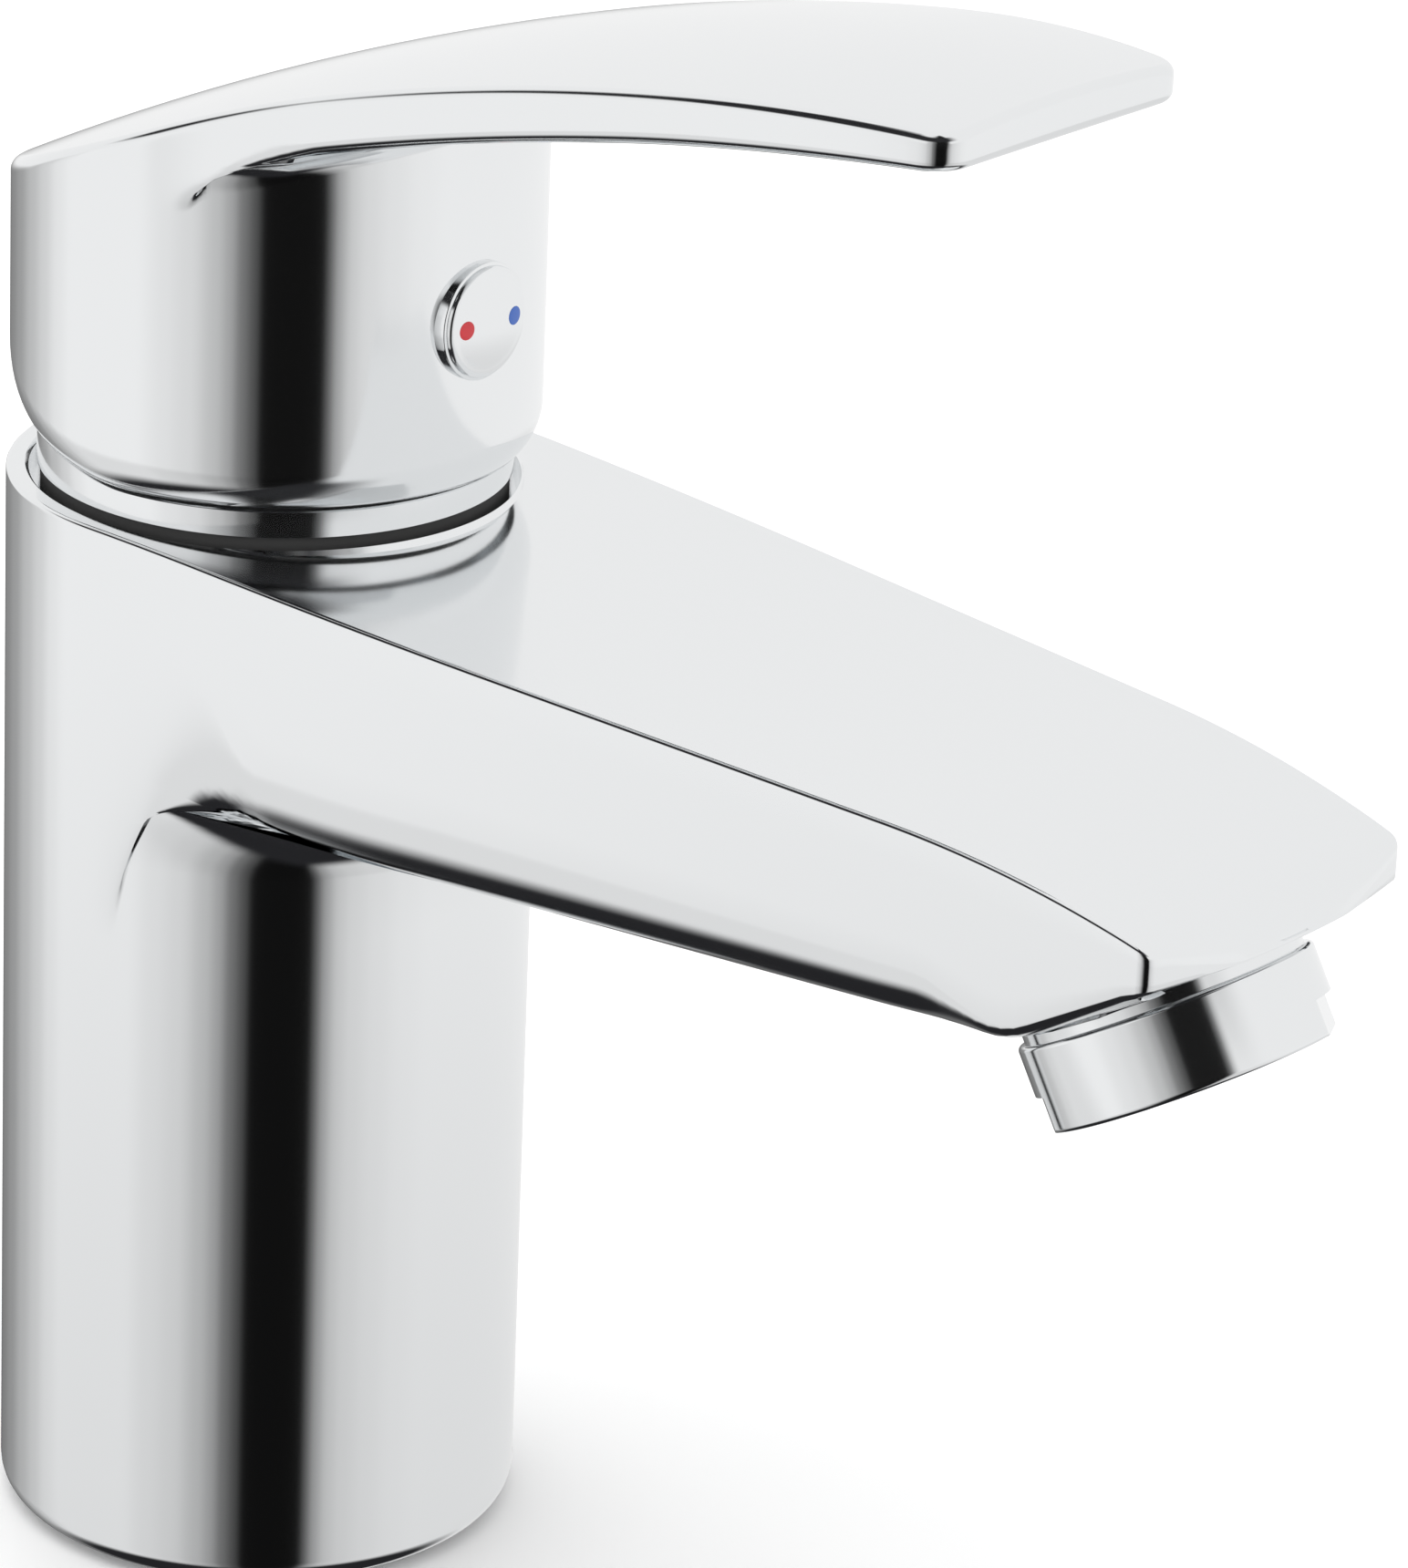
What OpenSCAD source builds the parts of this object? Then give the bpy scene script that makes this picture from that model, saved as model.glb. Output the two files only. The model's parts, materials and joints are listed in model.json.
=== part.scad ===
// Single-lever basin mixer tap, built the way it comes apart on a bench.
// Origin: centre of the base face. +Z up, the spout and the lever point to -Y.

/* [Body column] */
// Diameter of the round column
body_d = 48; // [46:1:60]
// Height of the flat top of the column above the deck
body_h = 100.5; // [96:0.5:120]
// Rounding of the bottom edge of the column
base_edge_r = 2.5; // [1:0.5:4]
// Radius of the hollow that the two discs and their housing sit in
chamber_r = 17.8; // [17.6:0.1:18.4]
// Width of the ring-shaped land between the bottom edge and the seal
base_land = 1.9; // [1:0.1:3]

/* [Spout] */
// Distance from the column's axis to the front edge of the spout
spout_reach = 113.6; // [105:0.2:150]
// Half width of the spout where it leaves the column
spout_root_w = 24.3; // [22:0.1:32]
// Half width of the spout at its nose
spout_tip_w = 17.6; // [17:0.1:24]
// Height of the spout's flat underside above the deck
spout_under = 76.5; // [70:0.5:82]
// Slope of the spout's top face, in degrees
spout_slope = 3.08; // [1:0.01:5]
// Rise of the spout's underside in front of the fillet, in degrees
under_slope = 2.3; // [0.5:0.1:3]
// Rounding of the two lower edges of the spout
spout_edge_r = 4.5; // [1:0.5:6]
// Radius of the fillet between the column and the spout's underside
root_fillet = 6.5; // [3:0.5:8]
// Bulge of the front edge, seen from above
nose_bulge = 2.4; // [1:0.2:5]

/* [Outlet] */
// Tilt of the outlet from straight down, in degrees
outlet_tilt = 30; // [20:1:34]
// Distance from the front edge back to the outlet's centre
outlet_back = 13.4; // [13:0.2:20]
// Minor radius of the outlet's internal thread
outlet_thread_r = 11.5; // [11:0.1:12]
// Length of the outlet's internal thread
outlet_thread_l = 5; // [4.5:0.5:5.5]
// Outer radius of the aerator's housing
aerator_r = 13; // [12.5:0.1:14]
// Length of the aerator's housing below its neck
aerator_l = 7.6; // [6:0.2:12]
// Height of the narrow neck above the housing
aerator_neck_l = 1; // [0.6:0.1:2]
// Distance between the two spanner flats
aerator_flats = 24; // [22:0.5:25.5]
// Turn of the spanner flats about the outlet, in degrees
aerator_turn = 35; // [0:5:90]

/* [Base connections] */
// Minor radius of the thread for the fixing stud
stud_r = 3.4; // [2.5:0.1:4]
// Depth of the thread for the fixing stud
stud_l = 18; // [12:1:30]
// Distance of the fixing stud behind the column's axis
stud_y = 10.5; // [9:0.5:11]
// Minor radius of the hose threads
port_r = 4.5; // [4:0.1:5]
// Depth of the hose threads
port_l = 12; // [8:1:20]
// Distance of each hose thread from the middle plane
port_x = 7.2; // [7:0.1:8.2]
// Distance of the hose threads in front of the column's axis
port_y = 4; // [3:0.5:5]
// Radius of the two risers from the hoses to the discs
riser_r = 3.5; // [3:0.1:3.8]

/* [Cartridge] */
// Height of the tilting pin above the deck
pivot_z = 102; // [100:0.5:104]
// Radius of the tilting pin
pin_r = 1.98; // [1.5:0.01:2.4]
// Radial running clearance of the pin and of the rotor's neck
run_gap = 0.07; // [0.03:0.01:0.1]
// Length from the tilting pin down to the centre of the stem's ball
stem_arm = 19; // [18:0.5:20]
// Radius of the stem's ball
ball_r = 3; // [2.5:0.1:3.2]
// Side of the square part of the stem
stem_w = 9; // [7:0.5:9]
// Radius of the rotor's neck
neck_r = 11.25; // [10.5:0.05:11.5]
// Thickness of each ceramic disc
disc_t = 4; // [3:0.5:4]

/* [Trim dome] */
// Outer radius of the chromed dome between the body and the handle
dome_r = 21.3; // [20.6:0.1:21.6]
// Wall of the dome
dome_wall = 1.4; // [1:0.1:1.8]

/* [Handle] */
// Radius of the round cap
cap_r = 23.7; // [23.6:0.1:30]
// Height of the cap's lower edge above the deck
cap_z = 103.6; // [103.2:0.1:108]
// Slope of the lower edge behind the pin, in degrees
cap_relief = 8.5; // [6:0.5:10]
// Highest point of the lever above the deck
lever_top = 153.9; // [146:0.1:170]
// Distance from the column's axis to the lever's tip
lever_reach = 85.8; // [75:0.2:110]
// Half width that the lever's straight sides would have at its tip
lever_tip_w = 17.9; // [14:0.1:22]
// Corner radius of the lever's tip
lever_corner_r = 3.5; // [2:0.5:8]
// Radius of the sides where they turn in towards the tip
lever_side_r = 150; // [100:10:300]
// Length of lever over which its sides and faces bend towards the tip
lever_bend = 26; // [20:1:32]
// Thickness of the lever at its tip, before the bend
lever_tip_t = 2.7; // [2:0.1:5]
// Radius of the lever's arched top face
lever_arch_r = 255; // [220:5:320]
// How far the lever's top face swells above its two long edges
lever_crown = 1.5; // [0.5:0.1:2]
// Radius of the lever's arched lower face
lever_under_r = 345; // [330:5:380]
// Radius of the top face near the tip
lever_droop_r = 130; // [110:5:250]
// Half width of the lever beside the cap
lever_root_w = 21.2; // [19:0.1:23]

/* [Index button] */
// Height of the button above the deck
button_z = 119.7; // [119.5:0.1:123]
// Radius of the button's face
button_r = 5; // [4.2:0.1:6]
// How far the button stands out of the cap
button_proud = 1.9; // [1:0.1:3]
// Radius of each coloured dot
dot_r = 0.85; // [0.5:0.05:1.2]
// Distance of each dot from the button's centre
dot_x = 3.1; // [2:0.1:3.4]

/* [Hidden] */

$fn = 96;
eps = 0.01;
big = 400;
fit_gap = 0.1;
seat_gap = 0.3;
body_r = body_d / 2;

// Cartridge stack, from the chamber's floor upwards
floor_z = body_h - 38.5;
base_t = 5;
fixed_z = floor_z + base_t;
moving_z = fixed_z + disc_t + 0.05;
carrier_z = moving_z + disc_t;
carrier_t = 4;
drum_z = carrier_z + carrier_t + 1;
housing_top = floor_z + 31;
flange_t = 4.5;
drum_top = housing_top - flange_t - seat_gap;
counterbore_z = housing_top + 4;
nut_t = 7.5;
neck_top = pivot_z + 6;
ball_z = pivot_z - stem_arm;
stem_top = pivot_z + 21;

housing_r = chamber_r - seat_gap;
housing_bore = housing_r - 1.9;
drum_r = housing_bore - 0.2;
nut_r = chamber_r + 1.6;
nut_bore_r = nut_r + fit_gap;
relief_r = nut_bore_r;
counterbore_r = dome_r + 0.7;
disc_r = housing_bore - 1.1;
carrier_r = disc_r - 4.3;
hub_w = 11;
slot_gap = 0.1;
limit_w = 2.6;
slide_max = stem_arm * sin(15);

// Groove for the seal in the base
groove_out = body_r - base_edge_r - base_land;
groove_in = groove_out - 3.6;
groove_h = 3;

// Water holes in the two discs: the recess in the moving disc joins them once it slides
inlet_x = 4.6;
inlet_y = -5.2;
inlet_r = 2.1;
mixed_y = 0.6;
mixed_r = 3;
recess_r = 4.6;

// Side view of the spout
slope_start = -5;
blend_y = -(spout_reach - 28.2);
blend_z = body_h - (slope_start - blend_y) * tan(spout_slope);
blend_r = 110;
blend_end = 16;
nose_r = 5;
nose_end = 72;
core_wall = 4.2;

// Outlet frame: its own +Z points into the spout along the outlet's axis
nose_low = [-spout_reach, arc_end(arc_end([blend_y, blend_z], blend_r, spout_slope, blend_end),
                                  nose_r, blend_end, nose_end)[1] - 0.45];
outlet_y = -(spout_reach - outlet_back);
outlet_z = nose_low[1] - outlet_back * tan(outlet_tilt);
boss_r = outlet_thread_r + 2;
rise_start = body_r + root_fillet;
facet_reach = (spout_under - rise_start * tan(under_slope) - nose_low[1] + spout_reach * tan(outlet_tilt))
              / (tan(outlet_tilt) - tan(under_slope));
facet_ease = 0.8;

// Handle
cap_edge_r = 5;
cap_edge_in = 2.1;
back_edge_r = 12;
back_grow = 3;
lever_blend_r = 60;
cavity_r = dome_r + 0.4;
cavity_roof = pivot_z + 16;
boss_z = pivot_z + 11.5;
bush_w = stem_w + 3;
bush_top = stem_top + 0.5;
arch_y = -lever_reach - 9.2;
under_y = -lever_reach - 35.2;
under_top = lever_top - lever_tip_t - pow(arch_y + lever_reach, 2) / (2 * lever_arch_r)
            + pow(under_y + lever_reach, 2) / (2 * lever_under_r);
under_droop_r = lever_droop_r + 70;
under_bend_y = lever_bend - lever_reach + 5;
bend_step = 0.02;
button_seat = -(cap_r - 0.8);
button_face = -(cap_r - 0.45 + button_proud);
screw_r = 2.4;
screw_l = 9;

// End point of an arc that starts at p and bends from slope a0 to slope a1, going to -Y and down
function arc_end(p, r, a0, a1) = [p[0] - r * (sin(a1) - sin(a0)), p[1] - r * (cos(a0) - cos(a1))];
// Points of that arc
function arc(p, r, a0, a1, n) = [for (i = [0:n]) arc_end(p, r, a0, a0 + (a1 - a0) * i / n)];
// Points of a circular corner of radius r about c
function corner(c, r, a0, a1, n) = [for (i = [0:n]) let(a = a0 + (a1 - a0) * i / n)
                                    [c[0] + r * cos(a), c[1] + r * sin(a)]];
// Centres of a hexagonal grid inside a circle
function hex_grid(step, limit) = [for (i = [-8:8], j = [-8:8])
    let(p = [step * (i + j / 2), step * j * sin(60)]) if (norm(p) < limit) p];

// Turns a Y-Z outline into a slab of the given half width
module side_slab(half) {
    rotate([90, 0, 90]) translate([0, 0, -half]) linear_extrude(2 * half) children();
}

module ring(r_out, r_in, z0, z1) {
    translate([0, 0, z0]) difference() {
        cylinder(r = r_out, h = z1 - z0);
        translate([0, 0, -eps]) cylinder(r = r_in, h = z1 - z0 + 2 * eps);
    }
}

module o_ring(r_mid, r_cord, z) {
    translate([0, 0, z]) rotate_extrude() translate([r_mid, 0]) circle(r = r_cord, $fn = 24);
}

module outlet_frame() {
    translate([0, outlet_y, outlet_z]) rotate([-outlet_tilt, 0, 0]) children();
}

module button_frame() {
    translate([0, 0, button_z]) rotate([90, 0, 0]) children();
}

// ---- body ----

function top_line() = concat(
    [[body_r + 5, body_h], [slope_start, body_h]],
    arc([blend_y, blend_z], blend_r, spout_slope, blend_end, 6),
    arc(arc_end([blend_y, blend_z], blend_r, spout_slope, blend_end), nose_r, blend_end, nose_end, 8),
    [nose_low]);

module under_top() {
    side_slab(body_r + 20) polygon(concat(top_line(), [[-spout_reach, -10], [body_r + 5, -10]]));
}

// Height of the rising part of the underside at a distance from the column's axis
function under_line(reach) = spout_under + (reach - rise_start) * tan(under_slope);

module spout_side() {
    side_slab(body_r + 20) polygon(concat(top_line(),
        [[-facet_reach - facet_ease, nose_low[1] - (spout_reach - facet_reach - facet_ease) * tan(outlet_tilt)],
         [-facet_reach + facet_ease, under_line(facet_reach - facet_ease)],
         [-rise_start, spout_under], [0, spout_under], [0, 70]],
        [[body_r + 5, 70]]));
}

module spout_plan() {
    nose_arc_r = (pow(spout_tip_w, 2) + pow(nose_bulge, 2)) / (2 * nose_bulge);
    half = asin((spout_tip_w + 1) / nose_arc_r);
    linear_extrude(200) polygon(concat(
        [[spout_root_w + 3, 0]],
        corner([0, -spout_reach + nose_arc_r], nose_arc_r, -90 + half, -90 - half, 12),
        [[-spout_root_w - 3, 0]]));
}

// Everything inside the left or right wall, with that wall's lower edge rounded
module wall_side(side, extra = 0) {
    taper = atan((spout_root_w - spout_tip_w) / spout_reach);
    mirror([side, 0, 0]) translate([spout_root_w + extra, 0, 0]) rotate([90, 0, -taper])
        translate([0, 0, -60]) linear_extrude(60 + spout_reach + 20) difference() {
            translate([-120, spout_under]) square([120, 60]);
            translate([-spout_edge_r, spout_under - eps]) difference() {
                square(spout_edge_r + eps);
                translate([0, spout_edge_r]) circle(r = spout_edge_r);
            }
        }
}

// Turns the walls' rounded lower edges up along the rising part of the underside
module risen() {
    translate([0, -rise_start, spout_under]) rotate([-under_slope, 0, 0])
        translate([0, rise_start, -spout_under]) children();
}

module spout() {
    intersection() {
        spout_side();
        spout_plan();
        wall_side(0);
        wall_side(1);
        risen() wall_side(0, 0.15);
        risen() wall_side(1, 0.15);
    }
}

module column() {
    rotate_extrude() polygon(concat(
        [[0, 0]],
        corner([body_r - base_edge_r, base_edge_r], base_edge_r, -90, 0, 8),
        [[body_r, body_h + 2], [0, body_h + 2]]));
}

// Fillet under the spout: a ring that touches the column in front and fades out at its sides
module root_fillet_web() {
    off = body_r / 3;
    r = body_r - off;
    half = spout_root_w - spout_edge_r;
    intersection() {
        translate([0, -off, spout_under - root_fillet]) difference() {
            cylinder(r = r + root_fillet, h = root_fillet + 1);
            rotate_extrude() translate([r + root_fillet, 0]) circle(r = root_fillet);
        }
        translate([-half, -body_r - root_fillet - 1, 0]) cube([2 * half, body_r + root_fillet + 1, 200]);
    }
}

module outlet_boss() {
    outlet_frame() translate([0, 0, 0.05]) cylinder(r = boss_r, h = outlet_thread_l + 0.6);
}

module waterway() {
    core_low = spout_under + core_wall;
    core_y = blend_y + 3;
    side_slab(spout_tip_w - 5.2) polygon([
        [-body_r / 2, core_low], [-body_r / 2, floor_z + 25], [-body_r, floor_z + 25],
        [-body_r - 10, body_h - 6.6], [core_y, blend_z - core_wall], [outlet_y + 4.5, outlet_z + 7.8],
        [core_y + 4, core_low], [-body_r - 10, core_low]]);
}

module chamber() {
    translate([0, 0, floor_z]) cylinder(r = chamber_r, h = 60);
    translate([0, 0, floor_z + 2]) cylinder(r = relief_r, h = 24);
    translate([0, 0, housing_top]) cylinder(r = nut_bore_r, h = 20);
    translate([0, 0, counterbore_z]) cylinder(r = counterbore_r, h = 20);
}

module base_holes() {
    for (side = [-1, 1]) translate([side * port_x, -port_y, 0]) {
        translate([0, 0, -1]) cylinder(r = port_r, h = port_l + 1);
        cylinder(r = riser_r, h = floor_z + 1);
    }
    translate([0, stud_y, -1]) cylinder(r = stud_r, h = stud_l + 1);
    ring(groove_out, groove_in, -1, groove_h);
}

module body() {
    color([0.86, 0.87, 0.88]) difference() {
        union() {
            intersection() {
                union() {
                    column();
                    spout();
                    root_fillet_web();
                }
                under_top();
            }
            outlet_boss();
        }
        chamber();
        waterway();
        base_holes();
        outlet_frame() {
            translate([0, 0, -20]) cylinder(r = outlet_thread_r, h = 20 + outlet_thread_l);
            translate([0, 0, outlet_thread_l - 1]) cylinder(r = outlet_thread_r - 3.5, h = 6);
        }
    }
}

module base_seal() {
    color([0.12, 0.12, 0.12]) ring(groove_out - 0.05, groove_in + 0.05, 0, groove_h);
}

// ---- cartridge, fixed pieces ----

module port_holes(z0, z1, r) {
    for (side = [-1, 1]) translate([side * port_x, -port_y, z0]) cylinder(r = r, h = z1 - z0);
}

module disc_holes(z0, z1) {
    for (side = [-1, 1]) translate([side * inlet_x, inlet_y, z0]) cylinder(r = inlet_r, h = z1 - z0);
}

module cartridge_base() {
    color([0.9, 0.9, 0.86]) difference() {
        translate([0, 0, floor_z]) cylinder(r = housing_r, h = base_t);
        port_holes(floor_z - 1, floor_z + 3.5, riser_r - 0.3);
        port_holes(floor_z - 1, floor_z + 2, riser_r + 2);
        disc_holes(floor_z + 2.6, fixed_z + 1);
        translate([0, mixed_y, floor_z + 2.5]) cylinder(r = mixed_r, h = 10);
        translate([-mixed_r, mixed_y, floor_z + 2.5]) cube([2 * mixed_r, 30, 1.6]);
    }
}

module inlet_seals() {
    color([0.15, 0.15, 0.15]) for (side = [-1, 1])
        translate([side * port_x, -port_y, 0]) ring(riser_r + 1.95, riser_r, floor_z, floor_z + 2);
}

module fixed_disc() {
    color([0.95, 0.94, 0.9]) difference() {
        translate([0, 0, fixed_z]) cylinder(r = disc_r, h = disc_t);
        disc_holes(fixed_z - 1, moving_z + 1);
        translate([0, mixed_y, fixed_z - 1]) cylinder(r = mixed_r, h = disc_t + 2);
    }
}

module cartridge_housing() {
    seal_z = housing_top - 2.6;
    color([0.88, 0.88, 0.84]) difference() {
        translate([0, 0, fixed_z]) cylinder(r = housing_r, h = housing_top - fixed_z);
        translate([0, 0, fixed_z - 1]) cylinder(r = housing_bore, h = housing_top - flange_t - fixed_z + 1);
        cylinder(r = neck_r + run_gap, h = 200);
        ring(chamber_r + 1, housing_r - 1.5, seal_z - 0.95, seal_z + 0.95);
        for (side = [0, 180]) rotate([0, 0, side]) translate([-2, housing_bore - 1, fixed_z - 1])
            cube([4, 4, 3]);
    }
}

module housing_seal() {
    color([0.15, 0.15, 0.15]) o_ring(chamber_r - 0.92, 0.88, housing_top - 2.6);
}

module retaining_nut() {
    color([0.83, 0.68, 0.36]) difference() {
        union() {
            translate([0, 0, housing_top]) cylinder(r = nut_r, h = 4);
            translate([0, 0, housing_top]) cylinder(r = nut_r - 1.9, h = nut_t, $fn = 6);
        }
        cylinder(r = neck_r + 1.2, h = 200);
        translate([0, 0, housing_top + 2]) cylinder(r = neck_r + limit_w + 0.3, h = 20);
    }
}

module dome_solid(r) {
    translate([0, 0, counterbore_z]) cylinder(r = r, h = pivot_z - counterbore_z);
    translate([0, 0, pivot_z]) intersection() {
        sphere(r = r, $fn = 144);
        cylinder(r = r + 1, h = r + 1);
    }
}

module trim_dome() {
    dome_top = pivot_z + 10;
    color([0.88, 0.89, 0.9]) difference() {
        intersection() {
            dome_solid(dome_r);
            cylinder(r = dome_r + 1, h = dome_top);
        }
        translate([0, 0, -eps]) dome_solid(dome_r - dome_wall);
        translate([0, 0, counterbore_z - 1]) cylinder(r = dome_r - dome_wall, h = 2);
    }
}

// ---- aerator ----

module aerator_housing() {
    low = -(aerator_neck_l + aerator_l);
    chamfer = 0.4;
    flat_h = 3.2;
    color([0.84, 0.85, 0.86]) outlet_frame() difference() {
        rotate_extrude() polygon([
            [aerator_r - 2.8, low], [aerator_r - chamfer, low], [aerator_r, low + chamfer],
            [aerator_r, -aerator_neck_l - chamfer], [aerator_r - chamfer, -aerator_neck_l],
            [outlet_thread_r + 0.8, -aerator_neck_l], [outlet_thread_r + 0.8, 0],
            [outlet_thread_r - fit_gap, 0], [outlet_thread_r - fit_gap, outlet_thread_l - 1.4],
            [aerator_r - 2.8, outlet_thread_l - 1.4]]);
        for (side = [0, 180]) rotate([0, 0, side + aerator_turn])
            translate([-aerator_r, aerator_flats / 2, low - 1]) cube([2 * aerator_r, 5, flat_h + 1]);
    }
}

module aerator_washer() {
    color([0.1, 0.1, 0.1]) outlet_frame()
        ring(outlet_thread_r - 0.15, outlet_thread_r - 2.8, outlet_thread_l - 1.4, outlet_thread_l);
}

module aerator_screen() {
    r = aerator_r - 2.9;
    color([0.6, 0.61, 0.62]) outlet_frame() difference() {
        translate([0, 0, outlet_thread_l - 1.9]) cylinder(r = r, h = 0.5);
        for (p = hex_grid(2, r - 1.2)) translate([p[0], p[1], 0]) cylinder(r = 0.7, h = 20, $fn = 6);
    }
}

module aerator_insert() {
    r = aerator_r - 2.9;
    low = -(aerator_neck_l + aerator_l) + 1.2;
    color([0.92, 0.92, 0.9]) outlet_frame() difference() {
        translate([0, 0, low]) cylinder(r = r, h = outlet_thread_l - 1.9 - low);
        for (p = hex_grid(2.6, r - 1.8)) translate([p[0], p[1], -20]) cylinder(r = 1.25, h = 40, $fn = 6);
    }
}

// ---- cartridge, turning pieces ----

module rotor() {
    slot_w = stem_w + 2 * slot_gap;
    slot_y = stem_w / 2 + 3;
    color([0.75, 0.78, 0.8]) difference() {
        union() {
            translate([0, 0, drum_z]) cylinder(r = drum_r, h = drum_top - drum_z);
            translate([0, 0, drum_z]) cylinder(r = neck_r, h = neck_top - drum_z);
        }
        translate([-hub_w / 2 - slot_gap, -hub_w / 2 - slide_max - 0.8, drum_z - 1])
            cube([hub_w + 2 * slot_gap, hub_w + slide_max + 1.5, drum_top - drum_z]);
        translate([-slot_w / 2, -slot_y, drum_z - 1]) cube([slot_w, 2 * slot_y, 60]);
        translate([-20, 0, pivot_z]) rotate([0, 90, 0]) cylinder(r = pin_r + 0.02, h = 40);
    }
}

module pivot_pin() {
    color([0.7, 0.71, 0.73]) translate([-neck_r + 0.4, 0, pivot_z]) rotate([0, 90, 0])
        cylinder(r = pin_r, h = 2 * neck_r - 0.8);
}

module limit_ring() {
    z = housing_top + 2.5;
    color([0.78, 0.1, 0.1]) difference() {
        union() {
            ring(neck_r + limit_w, neck_r, z, z + 2);
            translate([-2.5, -neck_r - limit_w + 0.3, z + 2 - eps]) cube([5, 2, 1.6]);
        }
        cylinder(r = neck_r, h = 200);
    }
}

// ---- cartridge, sliding pieces ----

module moving_disc() {
    color([0.96, 0.95, 0.92]) difference() {
        translate([0, 0, moving_z]) cylinder(r = carrier_r, h = disc_t);
        translate([0, 0, moving_z - 1]) cylinder(r = recess_r, h = 3);
    }
}

module carrier_seal() {
    color([0.15, 0.15, 0.15]) o_ring(6.2, 0.7, carrier_z + 0.7);
}

module disc_carrier() {
    color([0.35, 0.55, 0.75]) difference() {
        union() {
            translate([0, 0, carrier_z]) cylinder(r = carrier_r + 0.2, h = carrier_t);
            translate([-hub_w / 2, -hub_w / 2, carrier_z]) cube([hub_w, hub_w, ball_z + 2 - carrier_z]);
        }
        translate([0, 0, ball_z - ball_r - 0.5]) cylinder(r = ball_r + 0.15, h = 20);
        ring(6.2 + 0.75, 6.2 - 0.75, carrier_z - 1, carrier_z + 1.45);
    }
}

// ---- lever pieces ----

module stem() {
    color([0.83, 0.68, 0.36]) difference() {
        union() {
            translate([-stem_w / 2, -stem_w / 2, pivot_z - 4.5]) cube([stem_w, stem_w, stem_top - pivot_z + 4.5]);
            translate([0, 0, ball_z]) cylinder(r1 = ball_r - 1, r2 = ball_r, h = pivot_z - 4 - ball_z);
            translate([0, 0, ball_z]) sphere(r = ball_r, $fn = 48);
        }
        translate([-20, 0, pivot_z]) rotate([0, 90, 0]) cylinder(r = pin_r + run_gap, h = 40);
    }
}

// A round block on the plane z = 0 whose lower edge is rounded inwards
module bowl(r, edge_r, edge_in) {
    turn = acos(1 - edge_in / edge_r);
    rotate_extrude() polygon(concat(
        [[0, 0]],
        corner([r - edge_r, edge_r * sin(turn)], edge_r, -turn, 0, 8),
        [[r, 100], [0, 100]]));
}

// Straight sides that lean towards the tip and meet the cap in a hollow blend
module lever_plan() {
    c = lever_corner_r;
    lean = atan((lever_root_w - lever_tip_w) / lever_reach);
    bend_start = lever_reach - lever_bend;
    bend_c = [lever_root_w - bend_start * tan(lean) - lever_side_r * cos(lean),
              lever_side_r * sin(lean) - bend_start];
    turn = asin((lever_reach - c + bend_c[1]) / (lever_side_r - c));
    side_x = lever_root_w * cos(lean) + lever_blend_r;
    blend_a = acos(side_x / (cap_r + lever_blend_r)) + lean;
    blend_c = [(cap_r + lever_blend_r) * cos(blend_a), -(cap_r + lever_blend_r) * sin(blend_a)];
    half = concat(
        corner(blend_c, lever_blend_r, 180 - blend_a, 180 - lean, 6),
        corner(bend_c, lever_side_r, -lean, -turn, 4),
        corner(bend_c + (lever_side_r - c) * [cos(turn), -sin(turn)], c, -turn, -90, 6));
    linear_extrude(300) polygon(concat(
        half,
        [for (i = [len(half) - 1:-1:0]) [-half[i][0], half[i][1]]],
        [[-cap_r * 0.5, 0], [cap_r * 0.5, 0]]));
}

module arch(top_y, top_z, r) {
    translate([-big / 2, top_y, top_z - r]) rotate([0, 90, 0]) cylinder(r = r, h = big, $fn = 360);
}

// The arch with a face that swells between the lever's two long edges
module crowned_arch(top_y, top_z, r) {
    half = cap_r + 4;
    crown_r = pow(lever_root_w, 2) / (2 * lever_crown) + lever_crown / 2;
    turn = asin(half / crown_r);
    translate([0, top_y, top_z - r]) rotate([0, 90, 0]) rotate_extrude($fn = 360) polygon(concat(
        [[0, -half]],
        corner([r + lever_crown - crown_r, 0], crown_r, -turn, turn, 12),
        [[0, half]]));
}

// Everything behind the place where an arch starts to bend more
module behind(y) {
    translate([-60, y, 0]) cube([120, 200, 300]);
}

// Middle of the tighter arch of radius r1 that carries on from an arch of radius r at y
function bent(top_y, top_z, r, y, r1) = let(a = asin((y - top_y) / r))
    [top_y + (r - r1) * sin(a), top_z - r + (r - r1) * cos(a) + r1 - bend_step];

module lever_over() {
    y = lever_bend - lever_reach;
    tip = bent(arch_y, lever_top, lever_arch_r, y, lever_droop_r);
    intersection() {
        crowned_arch(arch_y, lever_top, lever_arch_r);
        behind(y);
    }
    crowned_arch(tip[0], tip[1], lever_droop_r);
}

module lever_under() {
    tip = bent(under_y, under_top, lever_under_r, under_bend_y, under_droop_r);
    intersection() {
        arch(under_y, under_top, lever_under_r);
        behind(under_bend_y);
    }
    arch(tip[0], tip[1], under_droop_r);
}

module handle_outer() {
    intersection() {
        union() {
            translate([0, 0, cap_z]) intersection() {
                bowl(cap_r, cap_edge_r, cap_edge_in);
                rotate([cap_relief, 0, 0]) bowl(cap_r + back_grow, back_edge_r, cap_edge_in + back_grow);
            }
            difference() {
                lever_plan();
                lever_under();
            }
        }
        lever_over();
        translate([-60, -lever_reach - 20, cap_z - 1]) cube([120, lever_reach + 60, 100]);
    }
}

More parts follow.
